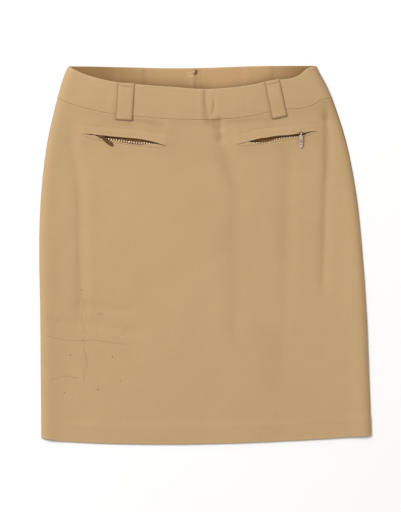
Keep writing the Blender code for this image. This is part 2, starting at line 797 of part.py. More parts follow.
def pocket_pull(pocket):
    """A pull tab whose ring turns about the slider's bridge. Its origin is the middle of the ring."""
    origin, _, normal = slider_frame(pocket)
    centre = origin + normal * bridge_height()
    heading = math.radians(pocket.pull_angle)
    length = PULL_ROWS[-1].out
    tip = centre + Vector((math.cos(heading), math.sin(heading), 0.0)) * length
    tip.z = float(front_outer(tip.x, tip.y)) + PULL_CLEAR + PULL_HALF_WALL
    x_axis = (tip - centre).normalized()
    axis = normal.cross(x_axis).normalized()
    place = matrix_of(centre, x_axis, x_axis.cross(axis))
    turn = np.arange(RING_STEPS) * 2 * math.pi / RING_STEPS
    ring = [(RING_RADIUS * math.cos(t), 0.0, RING_RADIUS * math.sin(t)) for t in turn]
    name = f"zip_pull_{pocket.side}"
    pull = prism(name, pull_outline(), -PULL_HALF_WALL, PULL_HALF_WALL, pocket.pull_metal)
    pull.matrix_world = place
    eye = swept(f"eye_ring_{pocket.side}", ring, RING_TUBE, 8, closed=True)
    eye.matrix_world = place
    combine(pull, eye, "UNION")


# ---- centre-back zip ----

def back_edge_height():
    """y of the back's waist edge at the centre-back seam."""
    return float(edge_line(BACK_WAIST, across_of(CENTRE_BACK, BACK_WAIST[2].y)))


def back_zip():
    """Tape and coil of the back zip, seen from inside, from the waist edge down."""
    top = back_edge_height() - BACK_ZIP_DROP
    y = top - BACK_ZIP_LENGTH * np.linspace(0.0, 1.0, 14)
    half = (
        (-BACK_ZIP_HALF, 0.0),
        (-BACK_ZIP_HALF, BACK_TAPE_WALL),
        (-BACK_COIL_HALF, BACK_TAPE_WALL),
        (-BACK_COIL_TOP_HALF, BACK_TAPE_WALL + BACK_COIL_HEIGHT),
    )
    profile = list(half) + [(-x, z) for x, z in half[::-1]]
    base = back_cover(y, across_of(CENTRE_BACK, y)) + GAP
    points = [(CENTRE_BACK + x, at, low + z) for at, low in zip(y, base) for x, z in profile]
    add_object("back_zip", points, tube_faces(len(y), len(profile)), "zip_tape", smooth=40)


def back_slider():
    """Inner plate of the back zip's slider, at the top of the shut zip."""
    width, length, height = BACK_SLIDER
    top = back_edge_height() - BACK_SLIDER_DROP
    base = BAND_WALL + 2 * GAP + BACK_TAPE_WALL + BACK_COIL_HEIGHT
    middle = top - length / 2
    placed = [(CENTRE_BACK + width / 2 * x, middle + length * y) for x, y in BACK_SLIDER_SHARES]
    slider = prism("back_zip_slider", placed, base, base + height, "dark_metal")
    edge = slider.modifiers.new("Bevel", "BEVEL")
    edge.width = 0.5 * MM
    edge.segments = 2
    edge.limit_method = "ANGLE"
    edge.angle_limit = math.radians(40)


def build():
    clear_scene()
    front_panel()
    front_waistband()
    back_pieces()
    for loop in FRONT_LOOPS:
        front_loop(loop)
    for loop in BACK_LOOPS:
        back_loop(loop)
    for pocket in POCKETS:
        pocket_welt(pocket)
        pocket_zip(pocket)
        pocket_bag(pocket)
        pocket_slider(pocket)
        pocket_pull(pocket)
    back_zip()
    back_slider()


build()
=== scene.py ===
import math
import bmesh
import bpy
import numpy as np
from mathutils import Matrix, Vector


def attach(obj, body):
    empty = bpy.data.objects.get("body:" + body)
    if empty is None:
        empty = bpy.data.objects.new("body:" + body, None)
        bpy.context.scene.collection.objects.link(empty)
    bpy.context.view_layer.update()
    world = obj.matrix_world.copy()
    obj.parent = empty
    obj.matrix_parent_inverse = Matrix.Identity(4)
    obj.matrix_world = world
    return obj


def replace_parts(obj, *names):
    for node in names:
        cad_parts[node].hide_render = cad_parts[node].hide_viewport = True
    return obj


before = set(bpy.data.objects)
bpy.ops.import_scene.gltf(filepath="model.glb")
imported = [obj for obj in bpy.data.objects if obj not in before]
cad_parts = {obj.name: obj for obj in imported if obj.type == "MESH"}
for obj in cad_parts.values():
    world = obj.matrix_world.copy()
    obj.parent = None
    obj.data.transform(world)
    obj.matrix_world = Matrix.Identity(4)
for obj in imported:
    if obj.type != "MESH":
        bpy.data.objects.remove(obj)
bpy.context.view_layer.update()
mm = 0.001  # every size below is in millimetres, and each mesh is made in metres

# outline of the cut: sides as (y, x) rows, the other edges as (share of the width, y) rows
cut = {
    "left side": ((-284, -246.3), (-200, -247.3), (-92, -248.2), (16, -249.8), (88, -247.2),
                  (160, -239), (214, -227.5), (250, -218), (272, -210.5), (284, -204)),
    "right side": ((-284, 248.4), (-200, 245.2), (-92, 240.9), (16, 233.1), (88, 225.3),
                   (160, 211.9), (214, 195.9), (250, 181.4), (272, 169.6), (284, 163.8)),
    "front waist": ((0, 282.8), (0.03, 277.8), (0.09, 269.8), (0.19, 260.8), (0.30, 256.3),
                    (0.42, 252.5), (0.546, 249.4), (0.656, 252.6), (0.74, 259), (0.80, 263.5),
                    (0.885, 266), (0.925, 271), (0.965, 280), (1, 283.3)),
    "back waist": ((0, 283.4), (0.1, 283.1), (0.2, 282.1), (0.4, 280.6), (0.55, 281.0), (0.7, 283.0),
                   (0.85, 284.0), (1, 284.0)),
    "hem": ((0, -274.5), (0.055, -278.2), (0.147, -281.2), (0.268, -282.9), (0.42, -283.2), (0.53, -282.3),
            (0.63, -280.8), (0.74, -278.4), (0.843, -275.6), (1, -270.2)),
    "band depth": 48.0, "band ease": 40.0, "hem depth": 24.0, "hem step": 12.0, "centre back": -18.5,
    "side inset": 0.9, "gap": 0.3, "sewn gap": 0.05,
}
cloth = {"wall": 1.2, "band wall": 2.0, "hem layer": 0.3, "turning": 0.5}

lie = {  # how the front lies on the back
    "air": 2.0, "air from side": 25.0, "air from hem": 30.0, "hem press": 0.85,
    "roll": 3.4, "roll reach": 9.0,
    "lift": 9.0, "lift reach": 75.0,
}

# runs, points (along, over), half width (or one for each side), height, fade of the ends
folds = {
    "left trough": ("down", ((-75, -188), (-4, -189), (108, -191), (167, -202)), (8, 12), -1.5, 40),
    "left ridge": ("down", ((-70, -172), (-4, -173), (108, -176), (160, -184)), 9, 0.5, 45),
    "left foot crease": ("across", ((-190, -77), (-168, -78), (-117, -84)), 6, -1.0, 18),
    "right trough": ("down", ((-24, 178), (147, 181), (206, 184)), (8.5, 13), -1.5, 45),
    "right ridge": ("down", ((-30, 192), (147, 195), (190, 200)), 8, 0.4, 45),
    "centre band trough": ("down", ((207, 2.5), (220, 1.8), (244, 1.2)), 5.5, -1.2, 9),
    "centre band ridge": ("down", ((206, -6.5), (244, -6.8)), 3.6, 0.45, 9),
    "centre band side trough": ("down", ((209, 10.5), (222, 13), (236, 12)), 4.0, -0.7, 8),
    "centre band foot": ("across", ((4, 200), (13, 198.5)), 6.5, -0.8, 7),
    "centre hollow": ("down", ((174, 23.5), (186, 22.5), (199, 21.5)), (8, 7), -1.9, 10),
    "centre hollow top": ("down", ((191, 21.5), (200, 21)), (14, 6), -1.6, 8),
    "centre hollow brow": ("across", ((5, 200.2), (15, 199)), 2.8, -0.9, 4),
    "centre drape": ("down", ((-136, 63), (-108, 42), (39, 39), (89, 44), (155, 27)), 14, -0.9, 45),
    "right drape": ("down", ((-58, 122), (147, 122)), 15, -0.7, 50),
    "left loop crease": ("across", ((-109, 200), (-66, 193)), 5, -0.9, 12),
    "low left crease": ("across", ((-232, -97), (-147, -108), (-110, -116)), 5, -0.7, 20),
}
fineFolds = {
    "tongue left": ("down", ((212, 5.5), (217, 2.2), (223, -0.3), (234, -1.0), (246, -1.2)), 1.9, -0.4, 6),
    "tongue right": ("down", ((210, 9), (216, 11.2), (224, 12.4), (232, 12)), 2.0, -0.65, 4),
    "right trough core": ("down", ((-30, 175.5), (90, 178), (147, 180.5), (206, 182)), (3.8, 5), -0.9, 45),
    "right yoke dip": ("down", ((205, 180), (226, 178)), (8, 6), -1.7, 8),
    "centre drape line": ("down", ((-110, 44), (39, 41), (89, 44), (152, 30), (168, 23)), (7, 16), -0.75, 36),
    "right drape line": ("down", ((-150, 112), (-58, 122), (120, 126)), 9, -0.45, 70),
    "pocket crown left": ("across", ((-158, 192), (-120, 190), (-70, 184)), 5, -0.5, 16),
    "pocket crown right": ("across", ((60, 186), (100, 193), (140, 199)), 5, -0.45, 16),
    "left foot nick high": ("across", ((-154, 213), (-147, 212.5)), 0.9, -0.45, 3),
    "left foot nick low": ("across", ((-156, 207.5), (-146, 207)), 1.0, -0.4, 3),
    "right foot nick high": ("across", ((62, 212), (72, 212.5), (83, 213)), 1.0, -0.45, 4),
    "right foot nick low": ("across", ((66, 207), (84, 208)), 1.1, -0.4, 4),
    "left loop drag": ("across", ((-112, 201), (-88, 197), (-60, 190)), 2.6, -0.6, 8),
    "under right loop": ("across", ((38, 197), (70, 200), (96, 199)), 4.5, -0.6, 14),
    "band drag left": ("down", ((222, -150), (246, -146)), 5, -0.35, 10),
    "band drag right": ("down", ((216, 58), (240, 62)), 6, -0.3, 10),
    "hip pull left": ("across", ((-226, 120), (-196, 112), (-170, 108)), 7, 0.5, 16),
    "hip pull right": ("across", ((150, 128), (176, 118), (206, 96)), 7, -0.45, 18),
    "knee drift left": ("down", ((-250, -36), (-170, -28), (-90, -34)), 22, 0.5, 60),
    "knee drift right": ("down", ((-255, 118), (-180, 108), (-110, 112)), 20, -0.5, 60),
    "hem kick": ("down", ((-276, 186), (-236, 184)), 14, 0.45, 24),
}
creaseShades = {  # painted shade where creases hide the light: runs, points, half widths, share of the painted shade colour, fade
    "centre hollow": ("down", ((184, 20.5), (200, 20)), (7, 2), 0.13, 14),
    "centre hollow top": ("down", ((194, 17), (200, 14)), (11, 6), 0.11, 7),
    "centre band fold": ("down", ((206, 1.5), (222, -2), (240, -3)), (4, 3.5), 0.13, 8),
    "tongue right": ("down", ((213, 11.5), (230, 12.5)), (2.5, 2), 0.12, 6),
    "centre hollow brow": ("across", ((-2, 201.5), (10, 200)), (4.5, 3), 0.16, 5),
    "right fold": ("down", ((20, 176), (90, 178), (150, 180), (206, 178.5)), (4, 4.5), 0.13, 40),
    "right fold top": ("down", ((125, 180), (165, 179.5), (206, 178.5)), (6, 4), 0.14, 20),
    "right yoke": ("down", ((206, 180), (226, 179)), (10, 12), 0.15, 9),
    "left fold": ("down", ((-60, -189), (7, -192), (90, -193.5)), (3, 3.5), 0.12, 25),
    "centre drape": ("down", ((-70, 46), (39, 43), (97, 43), (125, 30), (145, 18)), (7, 19), 0.08, 30),
    "right drape": ("down", ((10, 112), (80, 113), (150, 117)), (11, 11), 0.06, 35),
    "low right": ("down", ((-195, 105), (-120, 80)), (28, 34), 0.06, 35),
    "left loop foot": ("across", ((-150, 201), (-108, 198), (-75, 192), (-58, 186)), (6, 5), 0.12, 14),
    "right loop foot": ("across", ((30, 201), (62, 200), (95, 202)), (6, 6), 0.09, 12),
}
sideCreaseLook = {"from": -256, "to": -20, "fade": 30, "in": 5.0, "width": 1.4, "height": -0.5}
backFolds = {  # on the side that the skirt lies on, pressed up from the surface
    "left sit crease": ("across", ((-190, 96), (-130, 88), (-70, 92)), 7, 0.7, 24),
    "right sit crease": ("across", ((40, 84), (110, 92), (176, 86)), 8, 0.6, 26),
    "left long crease": ("down", ((-170, -120), (-60, -128), (40, -124)), 7, 0.6, 40),
    "right long crease": ("down", ((-210, 104), (-120, 112), (-20, 106)), 8, 0.7, 40),
    "low crease": ("across", ((-150, -150), (-90, -158), (-40, -152)), 6, 0.5, 24),
}
# lengths along x and y, phase, height
waves = ((83, 140, 0.4, 0.16), (131, 71, 2.1, 0.14), (47, 190, 4.0, 0.09), (61, 57, 1.3, 0.06))


# cubic through (key, value) rows, each inner tangent parallel to the chord of its neighbours
def tableLine(rows, at):
    xs, ys = np.array(rows, float).T
    at = np.asarray(at, float)
    tangent = np.empty_like(ys)
    tangent[1:-1] = (ys[2:] - ys[:-2]) / (xs[2:] - xs[:-2])
    tangent[0] = (ys[1] - ys[0]) / (xs[1] - xs[0])
    tangent[-1] = (ys[-1] - ys[-2]) / (xs[-1] - xs[-2])
    low = np.clip(np.searchsorted(xs, at) - 1, 0, len(xs) - 2)
    span = xs[low + 1] - xs[low]
    t = np.clip((at - xs[low]) / span, 0.0, 1.0)
    return (ys[low] * (1 + 2 * t) * (1 - t) ** 2 + tangent[low] * span * t * (1 - t) ** 2
            + ys[low + 1] * t * t * (3 - 2 * t) - tangent[low + 1] * span * t * t * (1 - t))


# 0 below zero, 1 past length, smooth step between
def ease(value, length):
    t = np.clip(value / length, 0.0, 1.0)
    return t * t * (3 - 2 * t)


# 1 at zero, falling away on both sides as a bell of that half width
def bell(value, width):
    return np.exp(-(value / width) ** 2)


# x of both side edges at a height
def sideLines(y):
    return tableLine(cut["left side"], y), tableLine(cut["right side"], y)


# height of the waist or hem edge at a share of the width
def edgeLine(name, across):
    return tableLine(cut[name], across)


# share of the width: 0 at the left edge, 1 at the right
def acrossOf(x, y):
    left, right = sideLines(y)
    return (x - left) / (right - left)


# 1 on the hem's turning, eased to 0 above it
def hemShare(y, across):
    return 1 - ease(y - edgeLine("hem", across) - cut["hem depth"], cut["hem step"])


# smooth height over the back panel, its hem and its waistband
def backCover(y, across):
    seam = edgeLine("back waist", across) - cut["band depth"]
    band = ease(y - seam + cut["band ease"] + 1, cut["band ease"])
    layers = (cloth["band wall"] - cloth["wall"]) * band
    return cloth["wall"] + layers + cloth["hem layer"] * hemShare(y, across)


# sum of bells across each fold's line, faded at its ends
def foldHeight(x, y, table):
    total = 0.0
    for runs, points, width, height, fade in table.values():
        along, over = (y, x) if runs == "down" else (x, y)
        ends = ease(along - points[0][0] + fade, fade) * ease(points[-1][0] + fade - along, fade)
        away = over - tableLine(points, along)
        width = np.where(away < 0, np.ravel(width)[0], np.ravel(width)[-1])
        total = total + height * ends * bell(away, width)
    return total


# share of the painted shade colour in the creases: the same bells, kept between 0 and 1
def creaseShade(x, y):
    return np.clip(foldHeight(x, y, creaseShades), 0.0, 1.0)


# slow uneven waves of loose cloth: products of two sines of different lengths
def waveHeight(x, y):
    total = 0.0
    for lengthX, lengthY, phase, height in waves:
        turnX = 2 * math.pi * x / lengthX + phase
        turnY = 2 * math.pi * y / lengthY - phase
        total = total + height * np.sin(turnX + 0.6 * np.sin(turnY)) * np.cos(turnY)
    return total


# belt loops on the front: middles of their ends, and width
frontLoops = {
    "left": {"top": (-119.0, 257.6), "bottom": (-122.6, 202.2), "width": 25.5},
    "right": {"top": (98.6, 261.5), "bottom": (110.4, 206.0), "width": 23.0},
}
loopLook = {
    "wall": 1.2, "arch": 0.5, "tack": 6.0, "blunt": 0.7, "crown": 0.9, "bed": 0.6, "bed reach": 1.7,
    # the side values paint shade along each loop's left side
    "foot": 0.7, "foot from": 3, "foot reach": 5, "side painted shade": 0.85, "side shade reach": 1.8,
    "worn": 0.5, "worn reach": 1.2, "tack row": 5.4, "groove": 0.95, "groove reach": 0.9,
    "stitch sink": 0.5, "stitch in": 2.0, "end round": 1.2, "side round": 1.6, "crown round": 2.0,
    "bed past": 4.0, "bed beside": 3.0,
    "along": ((0, 0.2), (1.2, 0.35), (4, 1.2)), "over": ((0, 0.2), (1.2, 0.35), (4, 1.4)),
}


# loop frame: along its length from the top, and over its width from the middle
def loopFrame(loop):
    top = np.array(loop["top"])
    down = np.array(loop["bottom"]) - top
    length = float(np.hypot(*down))
    down = down / length
    return top, down, np.array((-down[1], down[0])), length


# a place in that frame, and the loop's length
def loopCoords(loop, x, y):
    top, down, aside, length = loopFrame(loop)
    along = (x - top[0]) * down[0] + (y - top[1]) * down[1]
    return along, (x - top[0]) * aside[0] + (y - top[1]) * aside[1], length


pockets = {  # edges of the opening as (along, up) rows from the outer to the inner end
    "left": {
        "x": -122.2, "y": 172.9, "angle": -8.1, "half": 64.0, "slider": -34.0, "pull": -38.5,
        "lip": ((-64, 0.4), (-57, 0.7), (-51, 1.3), (-45, 1.1), (-40, 1.3), (-19, 2.1), (5, 3.4), (17, 4.0),
                (29, 4.0), (38, 3.5), (48, 2.3), (57, 0.8), (64, 0.2)),
        "row": ((-64, -0.6), (-34, -0.7), (-19, -1.3), (-5, -1.2), (10, -1.2), (22, -0.8), (32, 0.0),
                (42, 0.6), (52, 0.4), (64, -0.3)),
        "welt": ((-64, 0.0), (-57, 0.3), (-51, 0.1), (-45, 0.5), (-40, -0.6), (-28, -2.9), (-12, -3.3),
                 (0, -4.4), (14, -4.6), (26, -3.9), (34, -2.2), (42, -0.3), (50, 0.6), (57, 0.1), (64, -0.3)),
        "stitch": ((-62, 14.7), (-30, 14.7), (-10, 16.2), (20, 18.6), (46, 15.6)),
        "foot": 6.8,
    },
    "right": {
        "x": 106.5, "y": 175.9, "angle": 189.5, "half": 60.0, "slider": -36.5, "pull": -90.0,
        "lip": ((-60, 0.2), (-50, 0.8), (-43, 0.2), (-30, 0.6), (-17, 1.0), (-8, 1.9), (2, 2.7), (16, 2.5),
                (23, 3.1), (29, 2.7), (36, 2.1), (42, 1.6), (50, 0.8), (60, 0.2)),
        "row": ((-60, -0.9), (-43, -1.8), (-30, -2.7), (-19, -1.9), (-8, -1.1), (2, -1.6), (10, -3.6),
                (18, -4.0), (26, -2.9), (36, -0.8), (46, -0.1), (60, -0.6)),
        "welt": ((-60, -0.1), (-54, 0.0), (-48, -0.7), (-40, -2.2), (-30, -3.2), (-17, -3.0), (-6, -3.2),
                 (4, -3.6), (11, -4.3), (18, -4.9), (26, -4.5), (32, -2.9), (38, -0.4), (43, 1.3), (50, 0.6),
                 (60, 0.1)),
        "stitch": ((-65, 13.4), (-36, 13.2), (-8, 16.2), (10, 17.8), (28, 17.0), (44, 14.8)),
        "foot": 6.3,
    },
}
slit = {
    "close": 5.0, "drift": 12.0,  # the cloth shifts this far above and below the slit to open it
    "loft": 1.7, "loft up": 4.0, "loft reach": 16.0, "loft past": 18.0, "loft fade": 26.0,
    "groove": 0.5, "groove reach": 1.3, "sewn fade": 8.0, "row gap": 0.3, "tuck": 0.4,
}


# pocket frame: along the slit from its outer to its inner end, and up towards the waist
def pocketCoords(pocket, x, y):
    angle = math.radians(pocket["angle"])
    dx, dy = x - pocket["x"], y - pocket["y"]
    along = dx * math.cos(angle) + dy * math.sin(angle)
    return along, np.sign(math.cos(angle)) * (dy * math.cos(angle) - dx * math.sin(angle))


# the other way round: x and y of a place in a pocket's frame
def pocketPoint(pocket, along, up):
    angle = math.radians(pocket["angle"])
    turn = np.sign(math.cos(angle))
    return (pocket["x"] + along * math.cos(angle) - turn * up * math.sin(angle),
            pocket["y"] + along * math.sin(angle) + turn * up * math.cos(angle))


# the cut's upper edge, closed at both ends
def slitTop(pocket, along):
    return tableLine(pocket["lip"], along) * ease(pocket["half"] - np.abs(along), slit["close"])


# the cut's lower edge, below the welt: a flattened half oval
def slitLow(pocket, along):
    return -pocket["foot"] * np.sqrt(np.clip(1 - (np.abs(along) / pocket["half"]) ** 4, 0.0, 1.0))


# inner edges of the zip's halves: the upper one is tucked under the lip, never past the lower one
def lowerRow(pocket, along):
    return tableLine(pocket["row"], along)


def upperRow(pocket, along):
    return np.maximum(slitTop(pocket, along) + slit["tuck"], lowerRow(pocket, along) + slit["row gap"])


# cloth stands a little proud along each slit, as a bell across it, and sinks along the line of stitches
def pocketHeight(x, y):
    total = 0.0
    for pocket in pockets.values():
        along, up = pocketCoords(pocket, x, y)
        ends = ease(pocket["half"] + slit["loft past"] - np.abs(along), slit["loft fade"])
        loft = slit["loft"] * bell(up - slit["loft up"], slit["loft reach"])
        sewn = ease(pocket["half"] - np.abs(along), slit["sewn fade"])
        sunk = bell(up - tableLine(pocket["stitch"], along), slit["groove reach"])
        total = total + ends * loft - slit["groove"] * sewn * sunk
    return total


# thin crease pressed beside the right side seam
def sideCrease(y, fromRight):
    look = sideCreaseLook
    ends = ease(y - look["from"], look["fade"]) * ease(look["to"] - y, look["fade"])
    return look["height"] * ends * bell(fromRight - look["in"], look["width"])


# the cloth is pressed down along the edges of the belt loops sewn to it
def loopBeds(x, y):
    total = 0.0
    for loop in frontLoops.values():
        a, o, length = loopCoords(loop, x, y)
        half, reach = loop["width"] / 2, loopLook["bed reach"]
        past, beside = loopLook["bed past"], loopLook["bed beside"]
        sides = bell(np.abs(o) - half, reach) * ease(a, past) * ease(length + past - a, past)
        foot = bell(a - length, reach) * ease(half + beside - np.abs(o), beside)
        total = total - loopLook["bed"] * np.maximum(sides, foot)
    return total


# inner face of the front: contact at the sides and hem, plus slack, side roll, lift and folds
def frontInner(x, y):
    left, right = sideLines(y)
    across = (x - left) / (right - left)
    side = np.maximum(np.minimum(x - left, right - x) - cut["side inset"], 0.0)
    belowEdge = np.maximum(edgeLine("front waist", across) - y, 0.0)
    aboveHem = np.maximum(y - edgeLine("hem", across), 0.0)
    inside = 1 - np.exp(-side / lie["air from side"])
    slack = lie["air"] * inside * (1 - lie["hem press"] * np.exp(-aboveHem / lie["air from hem"]))
    roll = lie["roll"] * side / lie["roll reach"] * np.exp(1 - side / lie["roll reach"])
    lift = lie["lift"] * (1 - np.abs(2 * across - 1) ** 4) * bell(belowEdge, lie["lift reach"])
    shape = foldHeight(x, y, folds) + foldHeight(x, y, fineFolds) + pocketHeight(x, y) + loopBeds(x, y)
    shape = shape + sideCrease(y, right - x)
    loose = waveHeight(x, y) * (1 - np.exp(-aboveHem / lie["air from hem"]))
    air = slack + roll + lift + inside * (shape + loose)
    return backCover(y, across) + cut["gap"] + np.maximum(air, 0.0)


# outer faces of the front: plain cloth, the panel with its hem, and the band
def frontOuter(x, y):
    return frontInner(x, y) + cloth["wall"]


def panelOuter(x, y):
    return frontInner(x, y) + cloth["wall"] + cloth["hem layer"] * hemShare(y, acrossOf(x, y))


def bandOuter(x, y):
    return frontInner(x, y) + cloth["band wall"]


# lines from low to high whose spacing is read in straight lines between (place, spacing) spots
def spacedLines(low, high, spots):
    places, spacings = np.array(spots, float).T
    fine = np.linspace(low, high, 6000)
    density = 1 / np.interp(fine, places, spacings)
    total = np.concatenate([[0.0], np.cumsum((density[1:] + density[:-1]) / 2 * np.diff(fine))])
    count = max(int(round(total[-1])), 2)
    return np.interp(np.linspace(0, total[-1], count + 1), total, fine)


# the same from the first spot to the last, as shares of the whole
def spacedShares(spots):
    lines = spacedLines(spots[0][0], spots[-1][0], spots)
    return (lines - lines[0]) / (lines[-1] - lines[0])


# spots that are alike at both ends, from rows of (distance from an end, spacing)
def edgeSpots(low, high, rows):
    return [(low + at, step) for at, step in rows] + [(high - at, step) for at, step in rows[::-1]]


# quads of a grid whose rows run down (towards -y) and columns to the right, facing up
def gridQuads(top, bottom=None):
    bottom = top if bottom is None else bottom
    quads = np.stack([bottom[1:, :-1], bottom[1:, 1:], top[:-1, 1:], top[:-1, :-1]], axis=-1)
    return quads.reshape(-1, 4)


# closed wall: outer quads, the same turned over on the inner points, and a rim on every open edge
def shellFaces(quads, count):
    edges = np.stack([quads.ravel(), np.roll(quads, -1, axis=1).ravel()], axis=1)
    _, first, uses = np.unique(np.sort(edges, axis=1), axis=0, return_index=True, return_counts=True)
    a, b = edges[first[uses == 1]].T
    return np.concatenate([quads, quads[:, ::-1] + count, np.stack([b, a, a + count, b + count], axis=1)])


# angles of a full turn in equal steps
def turns(count, shift=0.0):
    return 2 * math.pi * (np.arange(count) + shift) / count


# points of a unit circle in equal steps
def unitRing(count):
    turn = turns(count)
    return np.stack([np.cos(turn), np.sin(turn)], axis=-1)


# a sine or cosine raised to a power below 1, which squares off an oval
def squared(wave, power):
    return np.sign(wave) * np.abs(wave) ** power


# quads round a row of equal rings, with a flat face on each end unless closed
def tubeFaces(stations, corners, offset=0, closed=False):
    index = np.arange(stations * corners).reshape(stations, corners) + offset
    rings = np.vstack([index, index[:1]]) if closed else index
    around = np.roll(rings, -1, axis=1)
    faces = np.stack([rings[:-1], around[:-1], around[1:], rings[1:]], axis=-1).reshape(-1, 4).tolist()
    return faces if closed else faces + [index[0, ::-1].tolist(), index[-1].tolist()]


def addObject(name, data):
    obj = bpy.data.objects.new(name, data)
    bpy.context.scene.collection.objects.link(obj)
    return obj


# mesh at the origin, with the weave's map and any marks for its finish; a mesh whose faces run
# either way is turned to face out
def makeMesh(name, points, faces, finish, uv=None, sharp=50, turn=False, **marks):
    mesh = bpy.data.meshes.new(name)
    faces = faces.tolist() if isinstance(faces, np.ndarray) else faces
    mesh.from_pydata((np.asarray(points, float) * mm).tolist(), [], faces)
    if turn:
        work = bmesh.new()
        work.from_mesh(mesh)
        bmesh.ops.recalc_face_normals(work, faces=work.faces)
        work.to_mesh(mesh)
        work.free()
    mesh.shade_smooth()
    mesh.set_sharp_from_angle(angle=math.radians(sharp))
    if uv is not None:
        corner = np.empty(len(mesh.loops), np.int32)
        mesh.loops.foreach_get("vertex_index", corner)
        layer = mesh.uv_layers.new(name="grain")
        layer.data.foreach_set("uv", (np.asarray(uv)[corner] * mm).astype(np.float32).ravel())
    for label, values in marks.items():
        flat = np.asarray(values).astype(np.float32).ravel()
        mesh.attributes.new(label, "FLOAT", "POINT").data.foreach_set("value", flat)
    mesh.materials.append(finish)
    return addObject(name, mesh)


# thickness share near an edge: a quarter circle of that radius, from keep at the edge to 1
def rounded(distance, radius=1.0, keep=0.3):
    t = np.clip(distance / radius, 0.0, 1.0)
    return keep + (1 - keep) * np.sqrt(1 - (1 - t) ** 2)


# direction out of the front: square to its slope from side to side, upright along y, as in the solids
def outward(x, y):
    step = 0.4
    left, right = sideLines(y)
    at = np.clip(x, left + cut["side inset"] + step, right - cut["side inset"] - step)
    slope = (frontInner(at + step, y) - frontInner(at - step, y)) / (2 * step)
    out = np.stack([-slope, np.zeros_like(slope), np.ones_like(slope)], axis=-1)
    return out / np.sqrt(1 + slope ** 2)[..., None]


# shell of cloth on its inner points, with the weave's grain turned by an angle; painted shade is only
# on its upper face
def clothShell(name, inner, out, wall, quads, finish, grain=0.0, **marks):
    outer = inner + out * wall[:, None]
    turn = math.radians(grain)
    plan = np.concatenate([outer, inner])[:, :2]
    uv = plan @ np.array([[math.cos(turn), -math.sin(turn)], [math.sin(turn), math.cos(turn)]])
    both = {label: np.concatenate([np.ravel(values), np.ravel(values) * (label != "deep")])
            for label, values in marks.items()}
    return makeMesh(name, np.concatenate([outer, inner]), shellFaces(quads, len(outer)), finish, uv, **both)


# the same over a whole grid, raised straight up unless another direction is given
def gridShell(name, x, y, z, wall, finish, grain=0.0, out=(0.0, 0.0, 1.0), **marks):
    inner = np.stack([x, y, z], axis=-1).reshape(-1, 3)
    out = np.broadcast_to(out, (*y.shape, 3)).reshape(-1, 3)
    quads = gridQuads(np.arange(y.size).reshape(y.shape))
    marks = {label: np.broadcast_to(values, y.shape) for label, values in marks.items()}
    return clothShell(name, inner, out, np.broadcast_to(wall, y.shape).ravel(), quads, finish, grain, **marks)


# colours of the cloths are linear; threads are counted per metre
clothFinish = {
    "light": (0.448, 0.300, 0.154), "dark": (0.382, 0.247, 0.121), "worn": (0.50, 0.354, 0.203),
    # the fourth colour is painted shade, mixed in where a piece marks it
    "deep": (0.225, 0.12, 0.042), "threads": 1500, "twill": 1.0, "bump": 0.22, "roughness": 0.82,
    "sheen": 0.08, "specular": 0.15,
}
facingFinish = dict(clothFinish, light=(0.458, 0.288, 0.138), dark=(0.388, 0.236, 0.108))
# the pocketing is coloured dark brown as painted shade, for the shadow seen down the slits
pocketingFinish = dict(clothFinish, light=(0.28, 0.138, 0.043), dark=(0.215, 0.102, 0.03),
                       worn=(0.33, 0.17, 0.06), threads=1100, twill=0.0, sheen=0.0, specular=0.05)
tapeFinish = dict(facingFinish, threads=2200, twill=0.6, sheen=0.1)


def mathNode(tree, operation, *values):
    node = tree.nodes.new("ShaderNodeMath")
    node.operation = operation
    for socket, value in zip(node.inputs, values):
        if isinstance(value, (int, float)):
            socket.default_value = value
        else:
            tree.links.new(value, socket)
    return node.outputs[0]


def newGroup(name, inputs, outputs):
    tree = bpy.data.node_groups.new(name, "ShaderNodeTree")
    for label, kind, value in inputs:
        socket = tree.interface.new_socket(label, in_out="INPUT", socket_type=kind)
        if value is not None:
            socket.default_value = value
    for label in outputs:
        tree.interface.new_socket(label, in_out="OUTPUT", socket_type="NodeSocketFloat")
    return tree, tree.nodes.new("NodeGroupInput"), tree.nodes.new("NodeGroupOutput")


# plain values for a node's named inputs
def setInputs(node, values):
    for label, value in values.items():
        node.inputs[label].default_value = value


def noiseNode(tree, vector, scale, detail=2.0, roughness=0.5):
    node = tree.nodes.new("ShaderNodeTexNoise")
    setInputs(node, {"Scale": scale, "Detail": detail, "Roughness": roughness})
    tree.links.new(vector, node.inputs["Vector"])
    return node.outputs["Fac"]


# weighted sum of two values
def blendNode(tree, first, weight, second, otherWeight):
    return mathNode(tree, "MULTIPLY_ADD", first, weight, mathNode(tree, "MULTIPLY", second, otherWeight))


# triangle wave: 0 at whole numbers, 1 halfway between
def triangleNode(tree, value):
    return mathNode(tree, "MULTIPLY", mathNode(tree, "PINGPONG", value, 0.5), 2.0)


